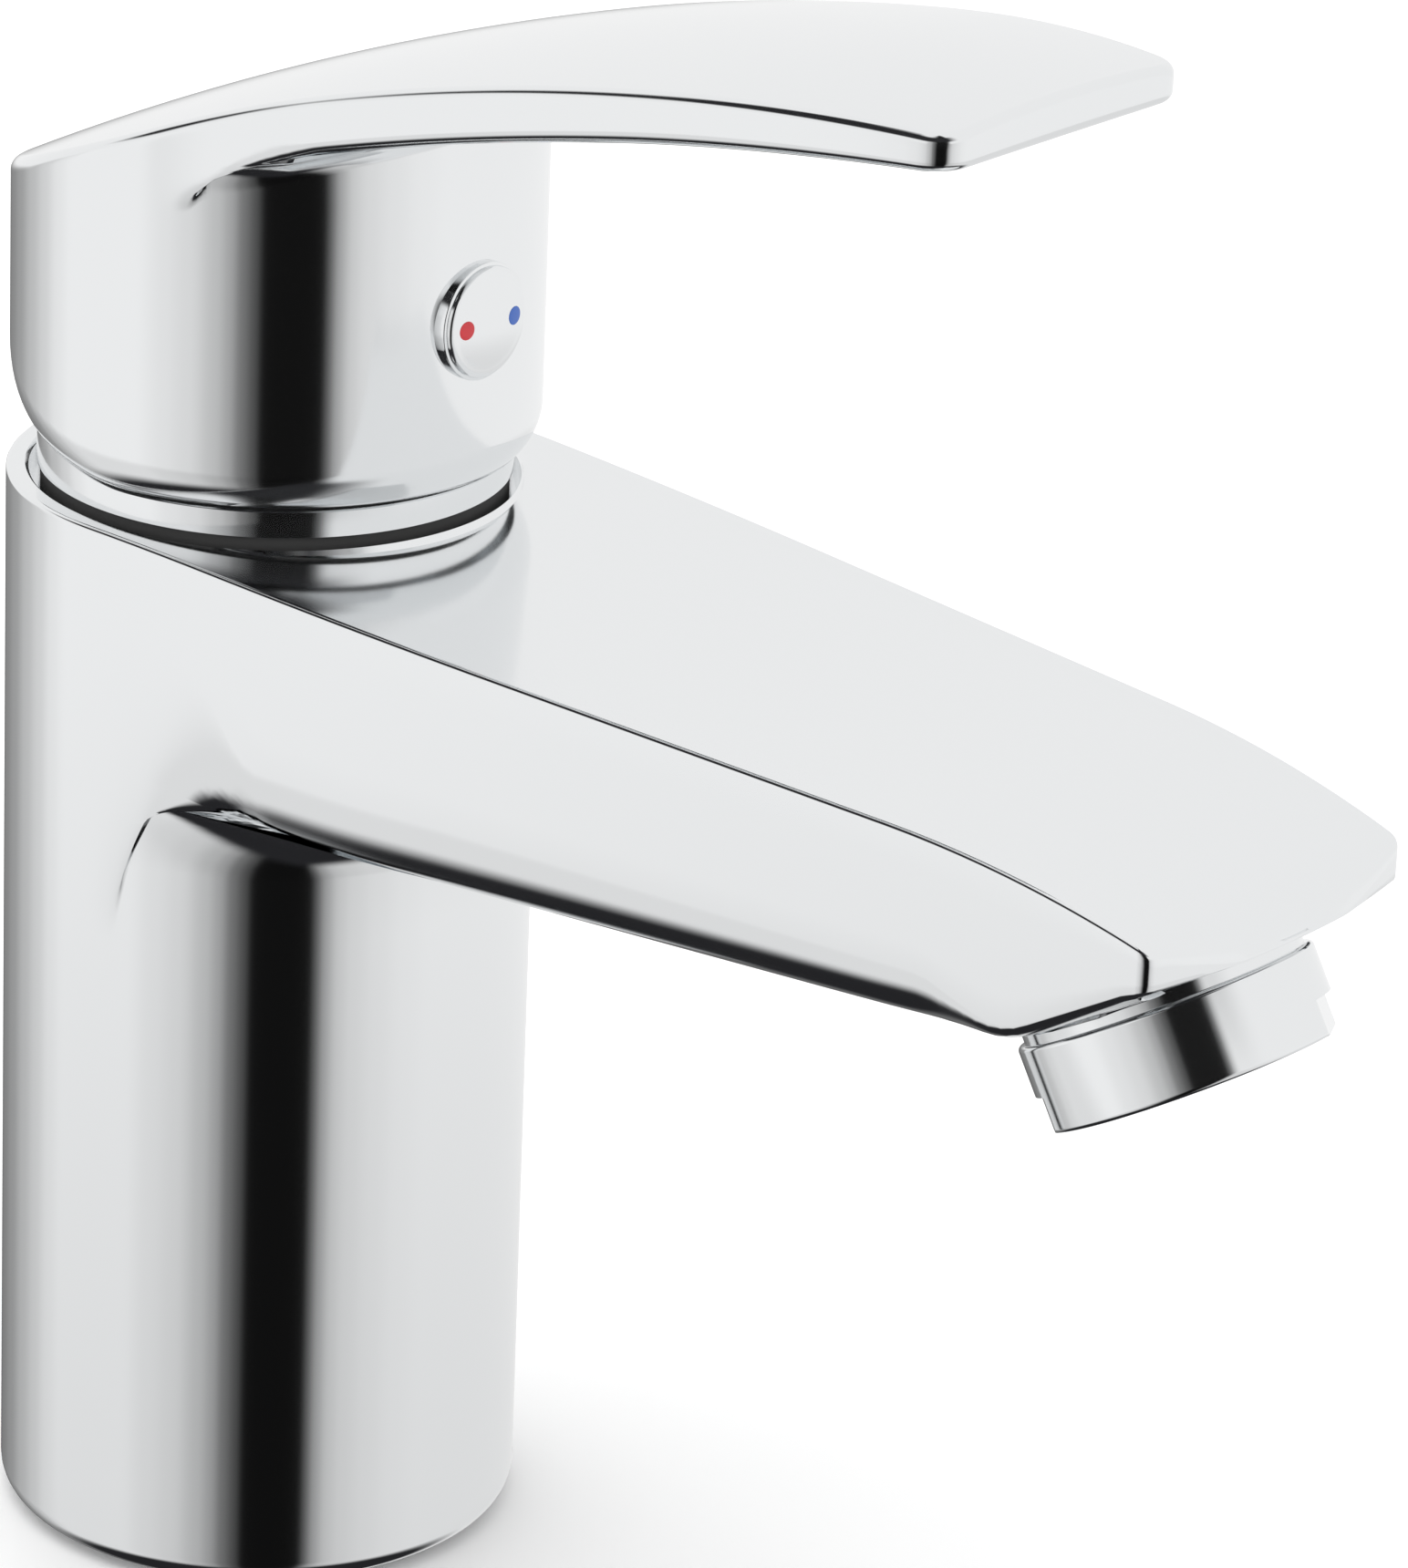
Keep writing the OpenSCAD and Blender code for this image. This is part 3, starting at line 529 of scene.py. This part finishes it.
def cap_low(y):
    """Height of the cap's lower edge, which rises behind the tilting pin."""
    y = np.asarray(y, float)
    return CAP_Z + CAP_RELIEF * smooth_max(y, 0 * y, RELIEF_EASE)


def cap_rounding(y):
    """Height of the rounding above that edge, taller at the back."""
    return ROUNDING + ROUNDING_MORE * smooth_step(y, ROUNDING_FROM, ROUNDING_TO)


def make_handle(settings):
    outline, start = lever_outline()

    def inner(points, column):
        middle = np.clip(points[:, 1] * RIDGE_SHARE, RIDGE_FRONT, RIDGE_BACK)
        return np.column_stack([0 * middle, middle])

    def wall_low(column):
        return cap_low(column[:, 1]) + cap_rounding(column[:, 1])

    edge = settings.lever_edge / MM
    levels = [(wall_low, u) for u in np.linspace(0, 1, 10)[1:-1]]
    rings = slab_rings(outline, CAP_R, start, lever_top, lever_under, edge, LEVER_FILLET,
                       LEVER_FLARE, lever_corner, levels, inner, 40)
    plan = unit(rings[0][:, :2])
    y = plan[:, 1] * CAP_R
    turn = math.acos(1 - CAP_INSET / CAP_EDGE_R)
    roof = ((9, CAVITY_TOP), (CAVITY_R - CAVITY_EDGE, CAVITY_TOP),
            (CAVITY_R, CAVITY_TOP - CAVITY_EDGE))
    foot = [flat_ring(rings[0], r, z) for r, z in roof]
    foot.append(np.column_stack([plan * CAVITY_R, cap_low(y) + LIP_H]))
    foot.append(np.column_stack([plan * (CAVITY_R + LIP_W), cap_low(y)]))
    for t in np.linspace(turn, 0, 12):
        r = CAP_R - CAP_EDGE_R * (1 - math.cos(t))
        z = cap_low(y) + cap_rounding(y) * (1 - math.sin(t) / math.sin(turn))
        foot.append(np.column_stack([plan * r, z]))
    bm = bmesh.new()
    add_rings(bm, foot + rings, True, False)
    return finish_mesh(bm, "handle_skin", TILTING)


# ---- finishes ------------------------------------------------------------------------------------

class Value:
    """A shader socket that can be added, multiplied and mixed like a number."""

    def __init__(self, shader, socket):
        self.shader, self.socket = shader, socket

    def math(self, operation, *others):
        return self.shader.calculate(operation, self, *others)

    def __add__(self, other):
        return self.math("ADD", other)

    __radd__ = __add__

    def __mul__(self, other):
        return self.math("MULTIPLY", other)

    __rmul__ = __mul__

    def __sub__(self, other):
        return self.math("SUBTRACT", other)

    def __rsub__(self, other):
        return self.shader.calculate("SUBTRACT", other, self)

    def between(self, low, high, to_low=0.0, to_high=1.0):
        """Maps low..high to to_low..to_high with soft ends."""
        return self.shader.node(
            "ShaderNodeMapRange", {"Value": self, "From Min": low, "From Max": high,
                                   "To Min": to_low, "To Max": to_high},
            output="Result", interpolation_type="SMOOTHSTEP")


class Shader:
    """A node tree under construction."""

    def __init__(self, tree):
        self.tree = tree
        tree.nodes.clear()

    def node(self, kind, inputs=(), output=0, stops=(), **settings):
        """Adds a node, sets its settings and then its sockets, and returns one of its outputs.

        stops are the (position, grey) pairs of a ramp.
        """
        node = self.tree.nodes.new(kind)
        for name, item in settings.items():
            setattr(node, name, item)
        if stops:
            ramp = node.color_ramp
            ramp.interpolation = "EASE"
            while len(ramp.elements) < len(stops):
                ramp.elements.new(0.5)
            for element, (position, grey) in zip(ramp.elements, stops):
                element.position, element.color = position, colour((grey, grey, grey))
        for name, item in dict(inputs).items():
            if isinstance(item, Value):
                self.tree.links.new(item.socket, node.inputs[name])
            else:
                node.inputs[name].default_value = item
        return Value(self, node.outputs[output]) if len(node.outputs) else None

    def calculate(self, operation, *items):
        return self.node("ShaderNodeMath", enumerate(items), operation=operation)

    def mix(self, factor, a, b):
        """Mixes two colours."""
        return self.node("ShaderNodeMix", {0: factor, 6: a, 7: b}, output=2, data_type="RGBA")

    def position(self):
        return self.node("ShaderNodeTexCoord", output="Object")

    def noise(self, scale, detail=3.0, stretch=None):
        """Noise over the object; scale is in waves per metre."""
        where = self.position()
        if stretch is not None:
            where = self.node("ShaderNodeMapping", {"Vector": where, "Scale": stretch})
        return self.node("ShaderNodeTexNoise", {"Vector": where, "Scale": scale, "Detail": detail},
                         output="Fac")

    def bump(self, height, strength, distance):
        return self.node("ShaderNodeBump",
                         {"Height": height, "Strength": strength, "Distance": distance})

    def surface(self, **inputs):
        names = {k.replace("_", " ").title().replace("Ior", "IOR"): v for k, v in inputs.items()}
        closure = self.node("ShaderNodeBsdfPrincipled", names)
        self.node("ShaderNodeOutputMaterial", {"Surface": closure})


def colour(rgb):
    return (*rgb[:3], 1.0)


def shade(rgb, share):
    return tuple(c * share for c in rgb[:3])


def material(name, build):
    made = bpy.data.materials.new(name)
    made.use_nodes = True
    build(Shader(made.node_tree))
    return made


def chrome(tint, roughness):
    """Polished plate: a little haze and faint buffing in the reflections."""
    def build(s):
        haze = s.noise(38.0, 4.0)
        fine = s.noise(900.0, 2.0)
        base = s.mix(haze.between(0.35, 0.7), colour(shade(tint, 0.985)), colour(tint))
        rough = haze.between(0.3, 0.75, roughness * 0.6, roughness * 1.5) + fine * (roughness * 0.3)
        normal = s.bump(s.noise(160.0, 2.0), 0.02, 0.0002)
        s.surface(base_color=base, metallic=1.0, roughness=rough, normal=normal)
    return build


def metal(tint, roughness, lines=900.0):
    """Turned or brushed metal with fine tool marks."""
    def build(s):
        marks = s.noise(lines, 3.0, (0.15, 0.15, 3.0))
        cloud = s.noise(90.0, 3.0)
        base = s.mix(cloud, colour(shade(tint, 0.86)), colour(tint))
        rough = marks.between(0.25, 0.8, roughness * 0.7, roughness * 1.4)
        s.surface(base_color=base, metallic=1.0, roughness=rough,
                  normal=s.bump(marks, 0.12, 0.0002))
    return build


def moulded(tint, roughness, grain=700.0, depth=0.15, coat=0.0):
    """Moulded plastic, ceramic or rubber with a fine grain."""
    def build(s):
        cloud = s.noise(60.0, 3.0)
        fine = s.noise(grain, 4.0)
        base = s.mix(cloud.between(0.3, 0.7), colour(shade(tint, 0.88)), colour(tint))
        rough = fine.between(0.3, 0.7, roughness * 0.8, min(1.0, roughness * 1.2))
        s.surface(base_color=base, roughness=rough, coat_weight=coat,
                  normal=s.bump(fine, depth, 0.0003))
    return build


def pale_floor(s):
    """Plain matt floor with a very faint mottle."""
    cloud = s.noise(3.0, 2.0)
    s.surface(base_color=s.mix(cloud, colour((0.965,) * 3), colour((0.985,) * 3)),
              roughness=0.9, normal=s.bump(s.noise(600.0, 2.0), 0.05, 0.0002))


def make_materials(settings):
    tint, rough = tuple(settings.chrome), settings.roughness
    looks = {
        "chrome_body": chrome(tint, rough),
        "chrome_handle": chrome(tint, rough),
        "chrome_trim": chrome(shade(tint, 0.97), rough * 1.3),
        "rubber": moulded((0.02, 0.02, 0.021), 0.6),
        "white_plastic": moulded((0.75, 0.74, 0.7), 0.42),
        "blue_plastic": moulded((0.12, 0.27, 0.5), 0.4),
        "black_plastic": moulded((0.03, 0.03, 0.035), 0.45),
        "red_plastic": moulded((0.5, 0.03, 0.025), 0.4),
        "ceramic": moulded((0.86, 0.85, 0.8), 0.12, grain=1500.0, depth=0.03, coat=0.4),
        "brass": metal((0.78, 0.6, 0.3), 0.28),
        "steel": metal((0.62, 0.63, 0.64), 0.3),
        "red_mark": moulded(tuple(settings.hot), 0.5, grain=1200.0, depth=0.02),
        "blue_mark": moulded(tuple(settings.cold), 0.5, grain=1200.0, depth=0.02),
    }
    for name, build in looks.items():
        material(name, build)


def dress(obj, slot):
    """Gives a piece the material named after the record's slot."""
    obj.data.materials.clear()
    obj.data.materials.append(bpy.data.materials[slot])
    return obj


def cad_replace(obj, *nodes):
    """Hides these parts of the frame, so that obj shows in their place."""
    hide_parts(*nodes)
    return obj


# ---- settings ------------------------------------------------------------------------------------

class MIXER_PG_body(bpy.types.PropertyGroup):
    edge_radius: bpy.props.FloatProperty(
        name="Edge radius", description="Rounding of the crisp edges of the spout and the lever",
        default=0.00045, min=0.0001, max=0.001, precision=5, unit="LENGTH")
    lever_edge: bpy.props.FloatProperty(
        name="Lever edge", description="Rounding of the upper edge of the handle",
        default=0.0009, min=0.0001, max=0.0015, precision=5, unit="LENGTH")
    root_fillet: bpy.props.FloatProperty(
        name="Root fillet", description="Fillet between the column and the underside of the spout",
        default=0.0065, min=0.003, max=0.009, precision=4, unit="LENGTH")
    hole_radius: bpy.props.FloatProperty(
        name="Hole radius", description="Radius of the hole in the top of the body",
        default=0.022, min=0.0218, max=0.0225, precision=4, unit="LENGTH")


class MIXER_PG_finish(bpy.types.PropertyGroup):
    chrome: bpy.props.FloatVectorProperty(
        name="Chrome", description="Colour of the plated surfaces", subtype="COLOR",
        default=(0.925, 0.93, 0.935), min=0, max=1)
    roughness: bpy.props.FloatProperty(
        name="Polish", description="Roughness of the plated surfaces",
        default=0.028, min=0.0, max=0.4)
    hot: bpy.props.FloatVectorProperty(
        name="Hot mark", description="Colour of the mark on the hot side", subtype="COLOR",
        default=(0.5, 0.004, 0.01), min=0, max=1)
    cold: bpy.props.FloatVectorProperty(
        name="Cold mark", description="Colour of the mark on the cold side", subtype="COLOR",
        default=(0.01, 0.035, 0.26), min=0, max=1)


class MIXER_PG_stage(bpy.types.PropertyGroup):
    azimuth: bpy.props.FloatProperty(
        name="Azimuth", description="Direction the camera looks from",
        default=math.radians(-50.93), subtype="ANGLE")
    elevation: bpy.props.FloatProperty(
        name="Elevation", description="Height of the camera above the horizon",
        default=math.radians(21.75), subtype="ANGLE")
    roll: bpy.props.FloatProperty(
        name="Roll", description="Tilt of the camera about its own axis",
        default=math.radians(2.37), subtype="ANGLE")
    distance: bpy.props.FloatProperty(
        name="Distance", description="Distance of the camera from the column",
        default=0.7, min=0.2, max=5, unit="LENGTH")
    lens: bpy.props.FloatProperty(
        name="Lens", description="Focal length of the camera", default=175.96, min=20, max=400)
    aim: bpy.props.FloatVectorProperty(
        name="Aim", description="Shift of the camera sideways and upwards", size=2,
        default=(0.03984, 0.0089), unit="LENGTH")
    light: bpy.props.FloatProperty(
        name="Light", description="Strength of the studio's soft light", default=1.0, min=0, max=5)


# ---- operators -----------------------------------------------------------------------------------

class MIXER_OT_finishes(bpy.types.Operator):
    """Makes the materials and gives them to the frame's own parts"""
    bl_idname = "mixer.finishes"
    bl_label = "Finishes"

    def execute(self, context):
        make_materials(context.scene.mixer_finish)
        slots = {s["node"]: s["material_slot"] for s in frame["record"]["subparts"]}
        for name, obj in frame["nodes"].items():
            dress(obj, slots[name])
            obj.data.polygons.foreach_set("use_smooth", [True] * len(obj.data.polygons))
            weld = obj.modifiers.new("weld", "WELD")
            weld.merge_threshold = CAD_WELD
            split = obj.modifiers.new("creases", "EDGE_SPLIT")
            split.split_angle = CAD_CREASE
        return {"FINISHED"}


class MIXER_OT_body(bpy.types.Operator):
    """Builds the body: column, spout, chamber and the threaded base"""
    bl_idname = "mixer.body"
    bl_label = "Body"

    def execute(self, context):
        skin = dress(make_body(context.scene.mixer_body), "chrome_body")
        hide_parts("body")
        base = plate_with_holes("body_base", ROOT, BASE_R, 0.0, BASE_TOP, (*HOSE_HOLES, STUD_HOLE))
        dress(base, "brass")
        boss = [(BOSS_BORE, 0.1), *arc_profile(BOSS_R - 0.4, 0.5, 0.4, -90, 0),
                (BOSS_R, BOSS_TOP), (BOSS_BORE, BOSS_TOP)]
        dress(lathe("outlet_boss", ROOT, boss, outlet_place(), closed=True), "chrome_body")
        return {"FINISHED"}


class MIXER_OT_trim(bpy.types.Operator):
    """Builds the plated dome between the body and the handle, and a black ring under its lip that
    is painted shade for the dark gap between the dome and the body's rim
    """
    bl_idname = "mixer.trim"
    bl_label = "Trim dome"

    def execute(self, context):
        outer, inner, pivot = 21.3, 19.9, 102.0
        low, lip, high = 97.02, 101.0, 112.0
        flange, edge, set_back = 0.5, 0.12, 0.35

        def zone(radius, start, end, count):
            heights = np.linspace(start, end, count)
            return [(math.sqrt(radius ** 2 - (z - pivot) ** 2), z) for z in heights]

        profile = [(outer - flange, lip), (outer - edge, lip), (outer, lip + edge), (outer, pivot),
                   *zone(outer, pivot, high, 24)[1:], *zone(inner, high, pivot, 16), (inner, lip)]
        skin = lathe("dome_skin", ROOT, profile, closed=True)
        dress(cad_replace(skin, "trim_dome"), "chrome_trim")
        # A black rubber ring under the dome's lip: painted shade for the dark gap between the dome
        # and the body's rim, which shows as a thin dark line at the rim.
        recess = outer - set_back
        profile = [(recess, low), (recess, lip), (inner, lip), (inner, low)]
        shade_ring = lathe("dome_shade_ring", ROOT, profile, closed=True)
        dress(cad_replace(shade_ring, "trim_dome"), "rubber")
        return {"FINISHED"}


class MIXER_OT_aerator(bpy.types.Operator):
    """Builds the aerator's housing with its two spanner flats"""
    bl_idname = "mixer.aerator"
    bl_label = "Aerator"

    def execute(self, context):
        radius, flats, turn = 13.0, 12.0, math.radians(35)
        bore, thread, neck, edge, mouth_edge = 10.2, 11.4, 12.3, 0.45, 0.5
        low, flats_top, neck_low, thread_top = -8.6, -5.4, -1.0, 3.6
        axis = np.array([-math.sin(turn), math.cos(turn)])

        def shape(points):
            if points[0][2] > flats_top + 1e-6:
                return points
            points = points.copy()
            across = points[:, :2] @ axis
            over = np.clip(across, -flats, flats) - across
            points[:, :2] += over[:, None] * axis
            return points

        profile = [
            (bore, thread_top), (bore, low + mouth_edge),
            *arc_profile(bore + mouth_edge, low + mouth_edge, mouth_edge, 180, 270, 5),
            *arc_profile(radius - edge, low + edge, edge, -90, 0, 5),
            (radius, flats_top - 0.01), (radius, flats_top + 0.01),
            *arc_profile(radius - edge, neck_low - edge, edge, 0, 90, 5),
            (neck, neck_low), (neck, 0.0), (thread, 0.0), (thread, thread_top)]
        made = lathe("aerator_shell", ROOT, profile, outlet_place(), 192, shape, True)
        dress(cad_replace(made, "aerator_housing"), "chrome_trim")
        return {"FINISHED"}


class MIXER_OT_handle(bpy.types.Operator):
    """Builds the handle: round cap and arched lever in one casting"""
    bl_idname = "mixer.handle"
    bl_label = "Handle"

    def execute(self, context):
        dress(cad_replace(make_handle(context.scene.mixer_body), "handle"), "chrome_handle")
        return {"FINISHED"}


class MIXER_OT_button(bpy.types.Operator):
    """Builds the index button and its two marks"""
    bl_idname = "mixer.button"
    bl_label = "Index button"

    def execute(self, context):
        centre_z, r, edge = 119.7, 5.0, 0.45
        tail, tail_r, seat, seat_r, step = 18.6, 3.2, 22.9, 5.3, 24.4
        face, dome = 25.15, 26.0
        dot, dot_x, dot_edge, dot_proud = 0.85, 3.1, 0.06, 0.03
        place = Matrix.Translation((0, 0, centre_z)) @ Matrix.Rotation(HALF_PI, 4, "X")

        def crown(radius):
            return face - dome + math.sqrt(dome ** 2 - radius ** 2)

        rim = crown(r - 0.5)
        profile = [(0, tail), (tail_r, tail), (tail_r, seat), (seat_r, seat), (seat_r, step - 0.3),
                   *arc_profile(seat_r - 0.15, step - 0.3, 0.15, 0, 90, 4),
                   (r - 0.05, step - 0.1), (r, step), (r, rim - 0.5),
                   *arc_profile(r - edge, rim - 0.42, edge, 10, 76, 6)]
        profile += [(x, crown(x)) for x in np.linspace(r - 0.7, 0, 12)]
        button = lathe("button_skin", TILTING, profile, place, 128)
        dress(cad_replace(button, "index_button"), "chrome_trim")
        profile = [(0, -0.5), (dot, -0.5), (dot, -dot_edge),
                   *arc_profile(dot - dot_edge, -dot_edge, dot_edge, 0, 90, 4),
                   (dot * 0.5, 0.02), (0, dot_proud)]
        for name, side, slot in (("red_dot", -1, "red_mark"), ("blue_dot", 1, "blue_mark")):
            at = place @ Matrix.Translation((side * dot_x, 0, crown(dot_x) + dot_proud))
            at = at @ Matrix.Rotation(side * dot_x / dome, 4, "Y")
            made = lathe(name + "_mark", TILTING, profile, at, 48)
            dress(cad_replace(made, name), slot)
        return {"FINISHED"}


# ---- studio --------------------------------------------------------------------------------------

def camera_axes(settings):
    """Right, up and back vectors of the camera before its roll."""
    a, e = settings.azimuth, settings.elevation
    back = Vector((math.sin(a) * math.cos(e), -math.cos(a) * math.cos(e), math.sin(e)))
    right = Vector((math.cos(a), math.sin(a), 0))
    return right, back.cross(right), back


# Grey of the room round the horizon, by the angle in degrees from the camera's side.
ROOM = ((-180, 0.14), (-171, 0.18), (-157, 0.27), (-142, 0.37), (-128, 0.56), (-116, 0.72),
        (-106, 0.88), (-96, 0.96), (-60, 0.96), (-47, 0.86), (-35, 0.78), (-23, 0.58),
        (-17, 0.42), (-12, 0.2), (-6, 0.085), (-3, 0.006), (22.5, 0.006), (25.5, 0.14),
        (29, 0.42), (35, 0.68), (41, 0.78), (53, 0.86), (66, 0.92), (80, 0.95), (180, 0.95))
WHITE_SKY, DIM_SKY = (0.93, 0.93, 0.93, 1), (0.02, 0.02, 0.022, 1)
# Where the room changes, in degrees: where a change starts, and where it is complete.
SLOT_LEFT, SLOT_RIGHT = (-40, -22), (26, 34)
PATCH_LEFT, PATCH_RIGHT, PATCH_LOW, PATCH_HIGH = (-125, -105), (25, 60), (22, 32), (58, 72)
SKY_START, BEHIND, BEHIND_LIFT = (4, 14), (100, 135), 22
FLOOR_DARK, FLOOR_SHADE = (-42, -56), (-29, -17, 0.84, 1.05)


def build_world(settings):
    """A white room with a dark slot and a dim patch on the camera's side, as plated parts show."""
    world = bpy.data.worlds.new("studio")
    bpy.context.scene.world = world
    world.use_nodes = True
    s = Shader(world.node_tree)
    right, _, back = camera_axes(settings)
    ahead = Vector((back.x, back.y, 0)).normalized()
    way = s.node("ShaderNodeTexCoord", output="Generated")

    def along(axis):
        return s.node("ShaderNodeVectorMath", {0: way, 1: tuple(axis)}, output="Value",
                      operation="DOT_PRODUCT")

    turn = along(right).math("ARCTAN2", along(ahead)) * (180 / math.pi)
    rise = along((0, 0, 1)).math("ARCSINE") * (180 / math.pi)
    round_room = s.node("ShaderNodeValToRGB", {"Fac": (turn + 180) * (1 / 360)},
                        stops=[((angle + 180) / 360, grey) for angle, grey in ROOM])
    level = s.mix(rise.between(*FLOOR_SHADE), colour((0, 0, 0)), round_room)
    behind = turn.math("ABSOLUTE").between(*BEHIND)
    slot = turn.between(*SLOT_LEFT) * (1 - turn.between(*SLOT_RIGHT))
    above = (rise + behind * BEHIND_LIFT).between(*SKY_START) * (1 - slot)
    level = s.mix(above, level, WHITE_SKY)
    patch = rise.between(*PATCH_LOW) * (1 - rise.between(*PATCH_HIGH))
    patch = patch * turn.between(*PATCH_LEFT) * (1 - turn.between(*PATCH_RIGHT))
    level = s.mix(patch, level, DIM_SKY)
    level = s.mix(rise.between(*FLOOR_DARK), level, DIM_SKY)
    reflected = s.node("ShaderNodeLightPath", output="Is Glossy Ray")
    shown = s.mix(reflected, colour((1, 1, 1)), level)
    light = s.node("ShaderNodeBackground", {"Color": shown, "Strength": settings.light})
    s.node("ShaderNodeOutputWorld", {"Surface": light})


# The studio, in metres and watts.
FLOOR_HALF, FLOOR_SINK = 6.0, 0.0004
LAMP_WIDTH, LAMP_DEPTH, LAMP_POWER, LAMP_PLACE = 1.6, 1.2, 9.0, (-0.2, 0.1, 1.4)
SENSOR_MM, CLIP_START, CLIP_END = 36.0, 0.01, 20.0
LOOK_AT = (0, 0, 0.06)
BOUNCES, GLOSSY_BOUNCES = 16, 12


class MIXER_OT_stage(bpy.types.Operator):
    """Makes the floor, the soft light, the surroundings and the camera"""
    bl_idname = "mixer.stage"
    bl_label = "Studio"

    def execute(self, context):
        scene = context.scene
        settings = scene.mixer_stage
        build_world(settings)
        self.lay_floor(scene)
        self.hang_lamp(scene)
        scene.camera = self.place_camera(scene, settings)
        scene.view_settings.view_transform = "Standard"
        scene.cycles.max_bounces = BOUNCES
        scene.cycles.glossy_bounces = GLOSSY_BOUNCES
        return {"FINISHED"}

    def lay_floor(self, scene):
        bm = bmesh.new()
        bmesh.ops.create_grid(bm, x_segments=8, y_segments=8, size=FLOOR_HALF)
        mesh = bpy.data.meshes.new("floor")
        bm.to_mesh(mesh)
        bm.free()
        floor = bpy.data.objects.new("floor", mesh)
        floor.location.z = -FLOOR_SINK
        scene.collection.objects.link(floor)
        floor.data.materials.append(material("pale_floor", pale_floor))
        floor.visible_glossy = False
        floor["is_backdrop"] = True

    def hang_lamp(self, scene):
        lamp = bpy.data.lights.new("overhead", "AREA")
        lamp.shape, lamp.size, lamp.size_y = "RECTANGLE", LAMP_WIDTH, LAMP_DEPTH
        lamp.energy = LAMP_POWER
        top = bpy.data.objects.new("overhead", lamp)
        top.location = LAMP_PLACE
        top.visible_glossy = False
        scene.collection.objects.link(top)

    def place_camera(self, scene, settings):
        right, up, back = camera_axes(settings)
        c, k = math.cos(settings.roll), math.sin(settings.roll)
        right, up = right * c + up * k, up * c - right * k
        lens = bpy.data.cameras.new("camera")
        lens.lens, lens.sensor_width, lens.sensor_fit = settings.lens, SENSOR_MM, "AUTO"
        lens.clip_start, lens.clip_end = CLIP_START, CLIP_END
        camera = bpy.data.objects.new("camera", lens)
        place = Vector(LOOK_AT) + back * settings.distance
        place += right * settings.aim[0] + up * settings.aim[1]
        turned = Matrix((right, up, back)).transposed().to_4x4()
        camera.matrix_world = Matrix.Translation(place) @ turned
        scene.collection.objects.link(camera)
        return camera


class MIXER_PT_panel(bpy.types.Panel):
    """Lists the sizes and colours, and the steps that build the mixer"""
    bl_idname = "MIXER_PT_panel"
    bl_label = "Basin Mixer"
    bl_space_type = "VIEW_3D"
    bl_region_type = "UI"
    bl_category = "Basin Mixer"

    def draw(self, context):
        for group, owner in GROUPS.items():
            for name in group.__annotations__:
                self.layout.prop(getattr(context.scene, owner), name)
        for operator in OPERATORS:
            self.layout.operator(operator.bl_idname)


GROUPS = {MIXER_PG_body: "mixer_body", MIXER_PG_finish: "mixer_finish",
          MIXER_PG_stage: "mixer_stage"}
OPERATORS = (MIXER_OT_finishes, MIXER_OT_body, MIXER_OT_trim, MIXER_OT_aerator, MIXER_OT_handle,
             MIXER_OT_button, MIXER_OT_stage)


def register():
    for cls in (*GROUPS, *OPERATORS, MIXER_PT_panel):
        bpy.utils.register_class(cls)
    for group, name in GROUPS.items():
        setattr(bpy.types.Scene, name, bpy.props.PointerProperty(type=group))


def unregister():
    for name in GROUPS.values():
        delattr(bpy.types.Scene, name)
    for cls in reversed((*GROUPS, *OPERATORS, MIXER_PT_panel)):
        bpy.utils.unregister_class(cls)


def main():
    register()
    for operator in OPERATORS:
        group, name = operator.bl_idname.split(".")
        getattr(getattr(bpy.ops, group), name)()
    boxes = {"cad": CAD_BOX, "visual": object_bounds()}
    {k: [list(v) for v in box] for k, box in boxes.items()}


if __name__ == "__main__":
    main()
